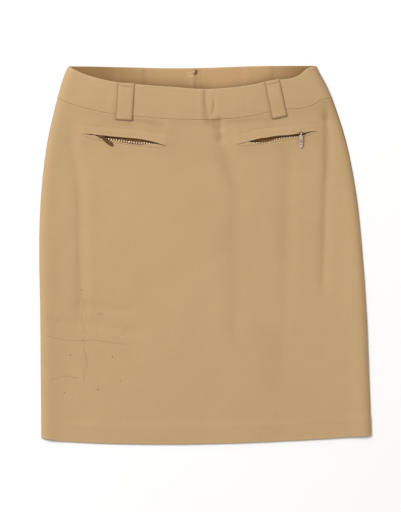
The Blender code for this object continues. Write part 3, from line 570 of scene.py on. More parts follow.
# weave: triangle waves along both thread directions, and a twill line over every third thread
def weaveGroup():
    tree, given, made = newGroup("weave", (("Vector", "NodeSocketVector", None),
                                           ("Threads", "NodeSocketFloat", 1500.0),
                                           ("Twill", "NodeSocketFloat", 1.0)), ("Height", "Slub"))
    scaled = tree.nodes.new("ShaderNodeVectorMath")
    scaled.operation = "SCALE"
    tree.links.new(given.outputs["Vector"], scaled.inputs[0])
    tree.links.new(given.outputs["Threads"], scaled.inputs["Scale"])
    wander = mathNode(tree, "MULTIPLY", noiseNode(tree, scaled.outputs[0], 0.06), 1.6)
    split = tree.nodes.new("ShaderNodeSeparateXYZ")
    tree.links.new(scaled.outputs[0], split.inputs[0])
    warpAt = mathNode(tree, "ADD", split.outputs["X"], wander)
    weftAt = mathNode(tree, "ADD", split.outputs["Y"], wander)
    warp, weft = triangleNode(tree, warpAt), triangleNode(tree, weftAt)
    ridge = triangleNode(tree, mathNode(tree, "DIVIDE", mathNode(tree, "ADD", warpAt, weftAt), 3.0))
    twill = blendNode(tree, warp, 0.3, ridge, 0.7)
    plain = mathNode(tree, "MAXIMUM", warp, weft)
    change = mathNode(tree, "MULTIPLY", mathNode(tree, "SUBTRACT", twill, plain), given.outputs["Twill"])
    tree.links.new(mathNode(tree, "ADD", plain, change), made.inputs["Height"])
    stretched = tree.nodes.new("ShaderNodeMapping")
    stretched.inputs["Scale"].default_value = (0.5, 0.02, 1.0)
    tree.links.new(scaled.outputs[0], stretched.inputs["Vector"])
    tree.links.new(noiseNode(tree, stretched.outputs[0], 1.0, 3.0), made.inputs["Slub"])
    return tree


# mottle: slow and mid-size noise for uneven dye and handling
def mottleGroup():
    tree, given, made = newGroup("mottle", (("Vector", "NodeSocketVector", None),), ("Shade",))
    slow = noiseNode(tree, given.outputs["Vector"], 7.0, 2.0)
    mid = noiseNode(tree, given.outputs["Vector"], 55.0, 4.0, 0.6)
    tree.links.new(blendNode(tree, mid, 0.35, slow, 0.65), made.inputs["Shade"])
    return tree


weave, mottle = weaveGroup(), mottleGroup()


def placeGroup(tree, group, vector, **values):
    node = tree.nodes.new("ShaderNodeGroup")
    node.node_tree = group
    tree.links.new(vector, node.inputs["Vector"])
    setInputs(node, values)
    return node


def mixColour(tree, share, first, second):
    node = tree.nodes.new("ShaderNodeMix")
    node.data_type = "RGBA"
    for label, value in {"Factor": share, "A": first, "B": second}.items():
        socket = node.inputs[label]
        if hasattr(value, "is_output"):
            tree.links.new(value, socket)
        else:
            socket.default_value = (*value, 1.0) if isinstance(value, tuple) else value
    return next(out for out in node.outputs if out.type == "RGBA")


# a mark stored on the mesh's points; 0 where the mesh has none
def marked(tree, label):
    node = tree.nodes.new("ShaderNodeAttribute")
    node.attribute_name = label
    return node.outputs["Fac"]


def newMaterial(name):
    made = bpy.data.materials.new(name)
    made.use_nodes = True
    return made, made.node_tree, made.node_tree.nodes["Principled BSDF"]


def objectPlace(tree):
    return tree.nodes.new("ShaderNodeTexCoord").outputs["Object"]


# bump on a shader from a height, its distance in mm
def addBump(tree, shader, height, strength, distance):
    bump = tree.nodes.new("ShaderNodeBump")
    setInputs(bump, {"Strength": strength, "Distance": distance * mm})
    tree.links.new(height, bump.inputs["Height"])
    tree.links.new(bump.outputs["Normal"], shader.inputs["Normal"])


# cloth: woven and mottled tone between dark and light, paler at worn edges, with painted shade where marked
def fabric(name, look):
    made, tree, shader = newMaterial(name)
    grain = tree.nodes.new("ShaderNodeUVMap")
    grain.uv_map = "grain"
    place = objectPlace(tree)
    woven = placeGroup(tree, weave, grain.outputs["UV"], Threads=look["threads"], Twill=look["twill"])
    dyed = placeGroup(tree, mottle, place)
    shade = blendNode(tree, woven.outputs["Height"], 0.45, woven.outputs["Slub"], 0.35)
    shade = mathNode(tree, "MULTIPLY_ADD", dyed.outputs["Shade"], 0.7, shade)
    level = mathNode(tree, "SUBTRACT", mathNode(tree, "MULTIPLY", shade, 1.35), 0.2)
    level = mathNode(tree, "MINIMUM", mathNode(tree, "MAXIMUM", level, 0.0), 1.0)
    body = mixColour(tree, level, look["dark"], look["light"])
    worn = mixColour(tree, mathNode(tree, "MULTIPLY", marked(tree, "edge"), 0.4), body, look["worn"])
    shaded = mixColour(tree, marked(tree, "deep"), worn, look["deep"])
    tree.links.new(shaded, shader.inputs["Base Color"])
    rough = mathNode(tree, "MULTIPLY_ADD", woven.outputs["Height"], -0.08, look["roughness"])
    tree.links.new(rough, shader.inputs["Roughness"])
    addBump(tree, shader, woven.outputs["Height"], look["bump"], 0.25)
    setInputs(shader, {"Sheen Weight": look["sheen"], "Sheen Roughness": 0.45,
                       "Sheen Tint": (*look["worn"], 1.0), "Specular IOR Level": look["specular"]})
    return made


# twisted thread: fine noise mixes in a darker colour, painted shade for the grooves between its plies
def threadMaterial(name, colour, deep):
    made, tree, shader = newMaterial(name)
    plies = noiseNode(tree, objectPlace(tree), 2400.0, 2.0)
    tree.links.new(mixColour(tree, plies, deep, colour), shader.inputs["Base Color"])
    setInputs(shader, {"Roughness": 0.6, "Sheen Weight": 0.1})
    return made


# polished or antiqued metal: fine scratches in roughness, darker tarnish in slow patches, and the tarnish
# colour also where marked, which is painted shade on the pull tabs' rims
def metal(name, colour, tarnish, roughness, wear):
    made, tree, shader = newMaterial(name)
    place = objectPlace(tree)
    patches = noiseNode(tree, place, 420.0, 3.0, 0.6)
    share = mathNode(tree, "MAXIMUM", mathNode(tree, "MULTIPLY", patches, wear), marked(tree, "dull"))
    tree.links.new(mixColour(tree, share, colour, tarnish), shader.inputs["Base Color"])
    scratches = noiseNode(tree, place, 3500.0, 2.0)
    tree.links.new(mathNode(tree, "MULTIPLY_ADD", scratches, 0.14, roughness), shader.inputs["Roughness"])
    addBump(tree, shader, scratches, 0.12, 0.05)
    setInputs(shader, {"Metallic": 1.0})
    return made


twillCloth = fabric("camelTwill", clothFinish)
facingCloth = fabric("camelFacing", facingFinish)
pocketing = fabric("pocketingPaintedShade", pocketingFinish)
zipTape = fabric("zipTape", tapeFinish)
thread = threadMaterial("camelThread", (0.42, 0.275, 0.135), (0.32, 0.20, 0.095))
lightThread = threadMaterial("lightThread", (0.86, 0.68, 0.46), (0.74, 0.54, 0.34))
dotThread = threadMaterial("dotThread", (0.36, 0.23, 0.11), (0.28, 0.175, 0.08))
knotThread = threadMaterial("knotThread", (0.24, 0.145, 0.065), (0.15, 0.09, 0.04))
brightMetal = metal("brightNickel", (0.97, 0.83, 0.78), (0.20, 0.11, 0.075), 0.2, 0.22)
toothMetal = metal("zipTeeth", (0.97, 0.82, 0.72), (0.42, 0.27, 0.17), 0.24, 0.35)
darkMetal = metal("darkMetalFinish", (0.27, 0.145, 0.065), (0.035, 0.017, 0.007), 0.3, 0.7)
print("finishes made")


frontCloth = {  # columns and rows as (place, spacing), worn and rounded edges, and the slit's lips
    "columns": ((-260, 0.8), (-228, 0.9), (-218, 2.6), (-190, 2.4), (-183, 0.9), (-178, 2.4), (-66, 2.4),
                (-60, 0.9), (-54, 2.6), (0, 2.0), (40, 2.4), (46, 0.9), (52, 2.4), (158, 2.4), (165, 0.9),
                (170, 2.0), (190, 2.2), (198, 0.9), (220, 0.8)),
    "rows above slit": ((0, 0.22), (1.2, 0.4), (4, 2.2), (33, 2.2), (40, 0.7), (42.6, 0.25), (44, 0.2)),
    "rows below slit": ((0, 0.2), (1.4, 0.25), (6, 0.9), (16, 2.2), (60, 2.8), (250, 4.4), (408, 3.6),
                        (416, 0.9), (425, 1.1), (434, 2.0), (441, 0.8), (443.6, 0.22), (445, 0.2)),
    "row guess": 170.0, "rounds": 8,  # the slit row is found in a few rounds
    "blend from": -45, "blend": 75, "least column": 0.35,
    "seam round": (0.7, 0.6), "hem round": 1.1, "worn hem": 2.5, "worn seam": 0.6, "worn reach": 1.2,
    "slit reach": 30.0, "slit ends": 3.0, "low lip round": (0.35, 0.7), "lip round": 0.9, "worn lip": 1.5,
    "lip raise": 0.5, "lip reach": 3.0,  # the slit's upper lip stands this much higher
    # the lip's shade values paint shade along the edge of the slit's upper lip, where the slit lies in shadow
    "lip shade": 0.9, "lip shade reach": 0.45, "turning reach": 6.0,
}


# row line that passes through both slits, blended between them
def slitRow(x):
    lines = [p["y"] + (x - p["x"]) * math.tan(math.radians(p["angle"])) for p in pockets.values()]
    share = ease(x - frontCloth["blend from"], frontCloth["blend"])
    return lines[0] * (1 - share) + lines[1] * share


# x on an inset grid from a fraction of the width and a height
def insetX(across, y):
    left, right = sideLines(y)
    return left + cut["side inset"] + (right - left - 2 * cut["side inset"]) * across


# heights of the slit row at fractions of the width
def slitHeights(across):
    row = slitRow(insetX(across, frontCloth["row guess"]))
    for _ in range(frontCloth["rounds"]):
        row = slitRow(insetX(across, row))
    return row


# fractions of the width of the grid's columns, each slit end on a column
def frontColumns():
    across = np.linspace(0, 1, 3000)
    x = insetX(across, slitHeights(across))
    lines = spacedLines(x[0], x[-1], frontCloth["columns"])
    ends = np.array([pocketPoint(p, s * p["half"], 0.0)[0] for p in pockets.values() for s in (-1, 1)])
    lines = lines[np.abs(lines[:, None] - ends).min(axis=1) > frontCloth["least column"]]
    return np.interp(np.sort(np.concatenate([lines, ends])), x, across)


# grid cut along the slit row between each slit's ends; the cloth shifts up and down to open it
def frontPanel():
    look = frontCloth
    across = frontColumns()
    seam, hem = seamLine(across) - cut["sewn gap"], edgeLine("hem", across)
    row = slitHeights(across)
    upper, lower = spacedShares(look["rows above slit"]), spacedShares(look["rows below slit"])
    y = np.vstack([seam + (row - seam) * upper[:, None], row + (hem - row) * lower[1:, None]])
    at = len(upper) - 1
    x = insetX(across, y)
    inCut = np.zeros(len(across), bool)
    for pocket in pockets.values():
        inCut |= np.abs(pocketCoords(pocket, x[at], y[at])[0]) < pocket["half"] - 0.05
    index = np.arange(x.size).reshape(x.shape)
    top = index.copy()
    top[at, inCut] = x.size + np.arange(inCut.sum())
    doubled = lambda grid: np.concatenate([grid.ravel(), grid[at][inCut]])
    px, py, seamGap, hemGap = doubled(x), doubled(y), doubled(seam - y), doubled(y - hem)
    isLower = np.concatenate([(np.arange(x.shape[0]) > at).repeat(x.shape[1]), np.ones(inCut.sum(), bool)])
    share = np.minimum(rounded(seamGap, *look["seam round"]), rounded(hemGap, look["hem round"]))
    edge = np.maximum(bell(hemGap, look["worn hem"]), look["worn seam"] * bell(seamGap, look["worn reach"]))
    lip = deep = 0.0
    for pocket in pockets.values():
        along, up = pocketCoords(pocket, px, py)
        shift = np.where(isLower, slitLow(pocket, along), slitTop(pocket, along))
        moved = up + shift * bell(up, slit["drift"])
        away = np.abs(moved - shift)
        near = np.abs(up) < look["slit reach"]
        within = ease(pocket["half"] - np.abs(along), look["slit ends"]) * near
        blunt = np.where(isLower, rounded(away, *look["low lip round"]), rounded(away, look["lip round"]))
        share = np.minimum(share, 1 - (1 - blunt) * within)
        lip = lip + look["lip raise"] * within * ~isLower * bell(away, look["lip reach"])
        edge = np.maximum(edge, within * bell(away, look["worn lip"]))
        # painted shade along the upper lip's edge
        deep = np.maximum(deep, look["lip shade"] * within * ~isLower * bell(away, look["lip shade reach"]))
        px, py = np.where(near, pocketPoint(pocket, along, moved), (px, py))
    # painted shade in the creases
    deep = np.maximum(deep, creaseShade(px, py))
    inner = np.stack([px, py, frontInner(px, py) + lip], axis=-1)
    turned = cloth["turning"] * bell(np.maximum(seamGap, 0.0), look["turning reach"])
    wall = (cloth["wall"] + turned + cloth["hem layer"] * hemShare(py, acrossOf(px, py))) * share
    quads = gridQuads(top, index)
    return clothShell("frontPanel", inner, outward(px, py), wall, quads, twillCloth, edge=edge, deep=deep)


bandCloth = {
    "columns": ((-228, 1.1), (-224, 1.1), (-206, 2.4), (-30, 2.4), (-12, 1.0), (24, 1.0), (40, 2.4),
                (176, 2.4), (190, 1.1), (194, 1.1)),
    "rows": ((0, 0.2), (1.2, 0.3), (3, 1.6), (24, 2.2), (45, 1.6), (47, 0.35), (48, 0.2)),
    # by share of the width: how far the seam wanders above an even depth, and the free edge hangs lower
    "seam": ((0, 0.3), (0.14, 0.3), (0.3, -0.5), (0.42, -0.8), (0.5, 1.1), (0.6, 1.5), (0.75, 1.4),
             (0.87, 2.4), (0.95, 1.4), (1, 0.4)),
    "sag": ((0, 0), (0.3, 0.8), (0.55, 0.6), (0.67, 1.2), (0.74, 2.6), (0.8, 1.9), (0.86, 1.3),
            (0.92, 0.5), (1, 0)),
    "waist round": (1.2, 0.25), "seam round": (0.9, 0.5), "worn waist": 2.0, "worn seam": 0.5,
    "worn reach": 1.2,
}


# the waist edge less the band's depth, plus the seam's wander
def seamLine(across):
    return edgeLine("front waist", across) - cut["band depth"] + tableLine(bandCloth["seam"], across)


# free edge of the front: the waist edge less its sag
def frontEdge(across):
    return edgeLine("front waist", across) - tableLine(bandCloth["sag"], across)


# grid from the free edge down to the seam, rounded and worn along both, with painted shade in its creases
def frontWaistband():
    look = bandCloth
    across = spacedShares(look["columns"])
    waist = frontEdge(across)
    down = spacedLines(0, cut["band depth"], look["rows"])[:, None]
    up = cut["band depth"] - down
    y = waist + (seamLine(across) - waist) * down / cut["band depth"]
    x = insetX(across, y)
    share = np.minimum(rounded(down, *look["waist round"]), rounded(up, *look["seam round"]))
    edge = np.maximum(bell(down, look["worn waist"]), look["worn seam"] * bell(up, look["worn reach"]))
    return gridShell("frontWaistband", x, y, frontInner(x, y), cloth["band wall"] * share, twillCloth, 90,
                     outward(x, y), edge=edge, deep=creaseShade(x, y))


backCloth = {
    "width": 240, "columns": ((0, 0.8), (3, 2.6), (250, 3.6)),
    "panel rows": ((0, 0.25), (1.2, 0.5), (6, 2.4), (60, 3.2), (440, 4.4), (490, 1.4), (508, 2.4),
                   (514, 0.25), (515, 0.2)),
    "band rows": ((0, 0.2), (1.2, 0.3), (3, 1.6), (24, 2.4), (45, 1.6), (47, 0.35), (48, 0.2)),
    "round": 1.1, "seam round": 0.9, "seam keep": 0.2, "worn top": 2.0, "worn low": 2.5,
}
backLoops = {
    "left": {"top": (-112, 280.5), "bottom": (-114, 226), "width": 25.0},
    "right": {"top": (78, 281.5), "bottom": (80, 227), "width": 25.0},
}
backLoopLook = {"wall": 1.2, "edge": 2.5, "fade": 10.0, "round": 0.9, "worn": 1.2,
                "down": ((0, 0.01), (0.05, 0.05)), "over": ((0, 0.3), (2, 2))}
mouth = {  # painted shade inside the mouth: near and reach change along x; left and right are where the ends begin and how far they run
    "near": ((-160, 0.35), (-110, 0.75), (-60, 0.8), (-10, 0.95), (22, 0.7), (52, 0.75), (82, 0.95),
             (104, 0.6), (140, 0.6)),
    "reach": ((-160, 8), (-110, 10), (-60, 9), (-10, 8), (22, 4), (52, 5.5), (82, 5), (104, 7), (140, 8)),
    "left": (-165, 96), "left end": 0.82, "right": (75, 80), "right end": 0.75,
}


# the back lies over its belt loops, so it stands off the surface there
def backRaise(x, y):
    raised = 0.0
    margin, fade = backLoopLook["edge"], backLoopLook["fade"]
    for loop in backLoops.values():
        beside = np.abs(x - (loop["top"][0] + loop["bottom"][0]) / 2) - loop["width"] / 2 - margin
        below = loop["bottom"][1] - margin - y
        raised = raised + (1 - ease(beside, fade)) * (1 - ease(below, fade))
    return (backLoopLook["wall"] + cut["gap"]) * raised


# underside of the back: raised over its loops, plus its creases
def backHeight(x, y):
    return backRaise(x, y) + foldHeight(x, y, backFolds)


# upper and lower edge of the back panels, or of their band
def backEdges(across, hemmed):
    waist = edgeLine("back waist", across)
    if hemmed:
        return waist - cut["band depth"] - cut["gap"], edgeLine("hem", across)
    return waist, waist - cut["band depth"]


# painted shade inside the back: darker near the front's edge and towards both ends of the mouth, where the
# inside lies in shadow
def paintedMouthShade(x, y, across):
    gap = np.maximum(y - frontEdge(across), 0.0)
    near = tableLine(mouth["near"], x) * np.exp(-gap / tableLine(mouth["reach"], x))
    left = mouth["left end"] * (1 - ease(x - mouth["left"][0], mouth["left"][1]))
    right = mouth["right end"] * ease(x - mouth["right"][0], mouth["right"][1])
    return 1 - (1 - near) * (1 - np.maximum(left, right))


# half of the back between the centre-back seam and the side, as a grid of heights and fractions
def backPiece(name, side, hemmed, finish, grain):
    look = backCloth
    down = spacedShares(look["panel rows" if hemmed else "band rows"])
    out = spacedLines(0, look["width"], look["columns"]) / look["width"]
    middleTop, middleLow = backEdges(0.5, hemmed)
    heights = middleTop + (middleLow - middleTop) * down
    sign = 1 if side == "right" else -1
    left, right = sideLines(heights)
    outer = right - cut["gap"] if sign > 0 else left + cut["gap"]
    seam = cut["centre back"] + sign * cut["gap"] / 2
    x = seam + (outer[:, None] - seam) * out
    x = x if sign > 0 else x[:, ::-1]
    across = acrossOf(x, heights[:, None])
    top, low = backEdges(across, hemmed)
    y = top + (low - top) * down[:, None]
    share = np.minimum(rounded(top - y, look["round"]), rounded(y - low, look["round"]))
    keep = look["seam keep"]
    share = share * (keep + (1 - keep) * rounded(np.abs(x - seam), look["seam round"]))
    wall = cloth["wall"] + cloth["hem layer"] * hemShare(y, across) if hemmed else cloth["band wall"]
    edge = np.maximum(bell(top - y, look["worn top"]), bell(y - low, look["worn low"]))
    # the inside of the mouth carries painted shade
    return gridShell(name, x, y, backHeight(x, y), wall * share, finish, grain,
                     edge=edge, deep=paintedMouthShade(x, y, across))


# a blunted half sine between the tacks
def loopArch(along, length):
    tack = loopLook["tack"]
    turn = math.pi * np.clip((along - tack) / (length - 2 * tack), 0.0, 1.0)
    return loopLook["arch"] * np.sin(turn) ** loopLook["blunt"]


# strip on the waistband, arched between its tacks and crowned across, its foot folded thicker, with painted
# shade along its left side
def frontLoop(side, loop):
    look = loopLook
    top, down, aside, length = loopFrame(loop)
    half = loop["width"] / 2
    along = spacedLines(0, length, edgeSpots(0, length, look["along"]))
    over = spacedLines(-half, half, edgeSpots(-half, half, look["over"]))
    a, o = np.meshgrid(along, over, indexing="ij")
    x, y = top[0] + down[0] * a + aside[0] * o, top[1] + down[1] * a + aside[1] * o
    z = bandOuter(x, y) + cut["gap"] + loopArch(a, length)
    ends, sides = np.minimum(a, length - a), half - np.abs(o)
    share = np.minimum(rounded(ends, look["end round"]), rounded(sides, look["side round"]))
    fromFoot = length - look["foot from"] - a
    folded = look["foot"] * bell(fromFoot, look["foot reach"]) * rounded(length - a, look["side round"], 0.0)
    crown = look["crown"] * (1 - (o / half) ** 4) * rounded(ends, look["crown round"], 0.0)
    wall = look["wall"] * share + crown + folded
    wall = wall - look["groove"] * bell(a - look["tack row"], look["groove reach"]) * (1 - (o / half) ** 6)
    edge = look["worn"] * bell(ends, look["worn reach"])
    deep = look["side painted shade"] * bell(sides, look["side shade reach"]) * (o < 0)
    return gridShell(f"frontLoop_{side}", x, y, z, wall, twillCloth, edge=edge, deep=deep)


# height function of a loop's crowned outer face, for its stitches
def loopOuter(loop):
    half = loop["width"] / 2

    def height(x, y):
        a, o, length = loopCoords(loop, x, y)
        crown = loopLook["crown"] * (1 - (o / half) ** 4) - loopLook["stitch sink"]
        return bandOuter(x, y) + cut["gap"] + loopArch(a, length) + loopLook["wall"] + crown

    return height


# plain strip pressed flat between the back waistband and the surface
def backLoop(side, loop):
    look = backLoopLook
    half = loop["width"] / 2
    down = spacedLines(0, 1, edgeSpots(0, 1, look["down"]))
    over = spacedLines(-half, half, edgeSpots(-half, half, look["over"]))
    ends = np.array(loop["top"]), np.array(loop["bottom"])
    middle = ends[0] + (ends[1] - ends[0]) * down[:, None]
    x, y = middle[:, :1] + over, middle[:, 1:] + 0 * over
    sides = half - np.abs(x - middle[:, :1])
    wall = look["wall"] * rounded(sides, look["round"])
    return gridShell(f"backLoop_{side}", x, y, 0 * x, wall, twillCloth, edge=bell(sides, look["worn"]))


weltLook = {
    "wall": 0.85, "sink": 0.12, "round": 0.5, "gap": 0.08, "past": 2.0,
    "low edge": ((0.0, -0.35), (0.15, -0.1), (0.4, 0.0)),
    "dive from": 4.0, "dive": 3.0, "drop": 0.8, "spread low": 2.2, "spread high": 2.4,  # at the slit's ends
}
# the last value darkens the tapes with painted shade, where the slits lie in shadow
tapeLook = {"share": 0.93, "reach": 9.0, "top": -2.4, "wall": 0.7, "cord": 0.75, "cord in": 1.0,
            "root": 0.9, "deep": 0.78}
bagLook = {
    "wall": 1.0, "above": 12.0, "below": 92.0, "corner": 22.0, "taper": 13.0, "inset": 1.0, "columns": 40,
    "rows": ((0, 1.0), (6, 3.0), (80, 3.0), (104, 0.8)), "round": (0.8, 0.5),
}
toothLook = {
    "pitch": 3.8, "middle": -1.75, "end": 9.0, "clear": 5.6, "square": 0.6,
    # away from the row's inner edge, half length along the zip, half height
    "profile": ((-0.45, 0.50, 0.30), (-0.20, 0.72, 0.60), (0.35, 0.80, 0.80), (0.85, 0.70, 0.80),
                (1.35, 0.74, 0.82), (2.3, 0.98, 0.84), (2.8, 0.80, 0.64)),
}


# closed profile of (up, depth) pairs carried along a slit, on the front's outer face
def pocketStrip(name, pocket, along, profile, finish, deep=0.0):
    rings = []
    for up, depth in profile:
        x, y = pocketPoint(pocket, along, np.broadcast_to(up, along.shape))
        rings.append(np.stack([x, y, frontOuter(x, y) + depth], axis=-1))
    points = np.stack(rings, axis=1)
    girth = np.cumsum(np.linalg.norm(np.diff(points, axis=1, prepend=points[:, :1]), axis=-1), axis=1)
    uv = np.stack(np.broadcast_arrays(along[:, None], girth), axis=-1).reshape(-1, 2)
    marks = {"deep": np.full(len(uv), deep)}
    return makeMesh(name, points.reshape(-1, 3), tubeFaces(*points.shape[:2]), finish, uv, turn=True, **marks)


# strip that covers the lower zip half, its upper edge rolled
def pocketWelt(side, pocket):
    along = np.linspace(-1, 1, 130) * (pocket["half"] + weltLook["past"])
    under = ease(np.abs(along) - pocket["half"] + weltLook["dive from"], weltLook["dive"])
    low = slitLow(pocket, along) + weltLook["gap"] - weltLook["spread low"] * under
    high = tableLine(pocket["welt"], along) + weltLook["spread high"] * under
    top, r = -weltLook["sink"] - weltLook["drop"] * under, weltLook["round"]
    bottom = top - weltLook["wall"]
    turn = np.radians((0, 22.5, 45, 67.5, 90))
    profile = [(low, bottom)] + [(low + a, top + b) for a, b in weltLook["low edge"]]
    profile += [(high - r + r * math.sin(t), top - r + r * math.cos(t)) for t in turn]
    return pocketStrip(f"pocketWelt_{side}", pocket, along, profile + [(high, bottom)], twillCloth)


# tape of one zip half, from under the cloth to a round cord along its inner edge, darkened by painted shade
def zipTapeStrip(name, pocket, along, edge, turn):
    look = tapeLook
    top, bottom = look["top"], look["top"] - look["wall"]
    middle, reach, root = (top + bottom) / 2, look["reach"], look["cord in"] + look["root"]
    cord = [(look["cord in"] + look["cord"] * math.cos(a), middle + look["cord"] * math.sin(a))
            for a in np.radians(np.linspace(40, 320, 9))]
    profile = [(reach, bottom), (reach, top), (root, top), *cord, (root, bottom)]
    profile = [(edge + turn * inward, z) for inward, z in profile]
    return pocketStrip(name, pocket, along, profile, zipTape, look["deep"])


# metal teeth: eight-sided rings along each tooth's length, one tooth repeated along the row
def zipTeeth(name, pocket, edgeOf, turn, phase):
    reach = pocket["half"] - toothLook["end"]
    along = np.arange(-reach + phase * toothLook["pitch"], reach, toothLook["pitch"])
    along = along[np.abs(along - pocket["slider"]) > toothLook["clear"]]
    up, halfLong, halfHigh = np.array(toothLook["profile"]).T
    angle = turns(8, 0.5)
    ringA = halfLong[:, None] * squared(np.cos(angle), toothLook["square"])
    ringN = halfHigh[:, None] * squared(np.sin(angle), toothLook["square"])
    a = along[:, None, None] + ringA
    u = edgeOf(pocket, along)[:, None, None] + turn * np.broadcast_to(up[:, None], ringA.shape)
    x, y = pocketPoint(pocket, a, u)
    z = frontOuter(x, y) + toothLook["middle"] + ringN
    one = tubeFaces(len(up), 8)
    faces = [[i + k * ringA.size for i in face] for k in range(len(along)) for face in one]
    points = np.stack([x, y, z], axis=-1).reshape(-1, 3)
    return makeMesh(name, points, faces, toothMetal, sharp=60, turn=True)


# bag pressed flat between the panels: rounded outline filled from its middle line, in pocketing coloured dark
# as painted shade
def pocketBag(side, pocket):
    look = bagLook
    half = pocket["half"] - look["inset"]
    down = spacedLines(0, look["rows"][-1][0], look["rows"])
    up = look["above"] - down
    taper = look["taper"] * ease(look["above"] - up, look["above"] + look["below"] - look["corner"])
    foot = np.clip((look["corner"] - look["below"] - up) / look["corner"], 0, 1)
    width = half - taper - look["corner"] * (1 - np.sqrt(1 - foot ** 2))
    share = np.linspace(-1, 1, look["columns"])
    along, upward = share * width[:, None], np.broadcast_to(up[:, None], (len(up), look["columns"]))
    x, y = pocketPoint(pocket, along if side == "left" else -along, upward)
    ends = np.minimum(width[:, None] * (1 - np.abs(share)), down[:, None])
    wall = look["wall"] * rounded(ends, *look["round"])
    return gridShell(f"pocketBag_{side}", x, y, cloth["wall"] + cut["gap"] + 0 * x, wall, pocketing)


sliderLook = {
    "half": (5.0, 2.85), "plate": (-1.3, 0.4), "square": 0.55, "waist": 0.22, "round": 0.45,
    "flange": 0.6, "foot": -2.0, "bar": (-4.2, 4.4), "bar half": 0.3, "bar in": 0.92, "bar round": 0.12,
    "bridge half": 4.1, "bridge radius": 0.5, "bend": 0.75, "root": 0.6,
}
pullLook = {
    "ring": 2.4, "tube": 0.45, "clear": 0.3, "half wall": 0.55, "lift": 0.5, "square": 0.6,
    "rows": ((2.15, 0.6), (2.6, 1.7), (4.2, 2.4), (7.0, 2.7), (10.0, 2.9), (18.0, 2.9), (20.4, 2.2),
             (22.0, 0.7)),
    "stations": ((2, 0.2), (7, 0.35), (12, 0.3), (16, 0.2), (22, 0.2)), "tip round": (0.8, 0.35),
    # where the ribs or the sunk panel begin and end, and the chevron's place, slope and width
    "ribs": (10.5, 20.5), "rib middle": 12.0, "rib pitch": 2.1, "panel": (8.0, 14.2),
    # the rim's value paints shade along the tab's sides; the relief's value is tarnish in the sunk marks
    "chevron": (15.6, 0.9, 0.6), "relief": 0.5, "relief dull": 0.9, "rim dull": 0.7,
}


# tangent along a heading in degrees, and normal, of the front's outer face
def surfaceFrame(x, y, heading):
    step = 2.0
    slopeX = (frontOuter(x + step, y) - frontOuter(x - step, y)) / (2 * step)
    slopeY = (frontOuter(x, y + step) - frontOuter(x, y - step)) / (2 * step)
    normal = Vector((-slopeX, -slopeY, 1.0)).normalized()
    flat = Vector((math.cos(math.radians(heading)), math.sin(math.radians(heading)), 0.0))
    return (flat - normal * flat.dot(normal)).normalized(), normal


# a slider's place on the front's outer face, found as for the solids, so that both sit alike
def sliderFrame(pocket):
    x, y = pocketPoint(pocket, pocket["slider"], slit["row gap"] / 2)
    along, normal = surfaceFrame(x, y, pocket["angle"])
    return np.array((x, y, float(frontOuter(x, y)))), along, normal


# rows of a right-handed frame from its x and z
def axesOf(xAxis, zAxis):
    return np.array((xAxis, zAxis.cross(xAxis), zAxis))


# closed body on an outline: rings shrink and rise round its top and bottom edges
def roundedPrism(outline, low, high, radius):
    middle = outline.mean(axis=0)
    reach = np.linalg.norm(outline - middle, axis=1)[:, None]
    turn = np.radians((0, 30, 60, 90))
    steps = [(radius * (1 - math.sin(t)), low + radius * (1 - math.cos(t))) for t in turn]
    steps += [(radius * (1 - math.cos(t)), high - radius * (1 - math.sin(t))) for t in turn]
    rings = [np.column_stack([middle + (outline - middle) * (1 - inset / reach), np.full(len(outline), z)])
             for inset, z in steps]
    return np.concatenate(rings), tubeFaces(len(steps), len(outline))


# round rod along a path in the x-z plane
def rod(path, radius, sides=12, closed=False):
    path = np.asarray(path, float)
    if closed:
        tangent = np.roll(path, -1, axis=0) - np.roll(path, 1, axis=0)
    else:
        tangent = np.gradient(path, axis=0)
    tangent /= np.linalg.norm(tangent, axis=1)[:, None]
    side = np.array((0.0, 1.0, 0.0))
    out = np.cross(tangent, side)
    turn = turns(sides)
    circle = np.cos(turn)[None, :, None] * out[:, None, :] + np.sin(turn)[None, :, None] * side
    return (path[:, None, :] + radius * circle).reshape(-1, 3), tubeFaces(len(path), sides, closed=closed)


# several closed bodies in one local frame, placed by axes and a centre; a body may carry its tarnish and
# painted shade
def assemble(name, bodies, axes, centre, finish):
    points, faces, dull, offset = [], [], [], 0
    for body, own, *tarnish in bodies:
        points.append(body)
        faces += [[i + offset for i in face] for face in own]
        dull.append(np.broadcast_to(tarnish[0] if tarnish else 0.0, len(body)))
        offset += len(body)
    placed = np.concatenate(points) @ axes + centre
    return makeMesh(name, placed, faces, finish, sharp=40, turn=True, dull=np.concatenate(dull))


# middle of the pull's ring over the front, so that the ring swings clear of the plate
def bridgeHeight():
    return sliderLook["plate"][1] + pullLook["clear"] + pullLook["ring"] + pullLook["tube"]


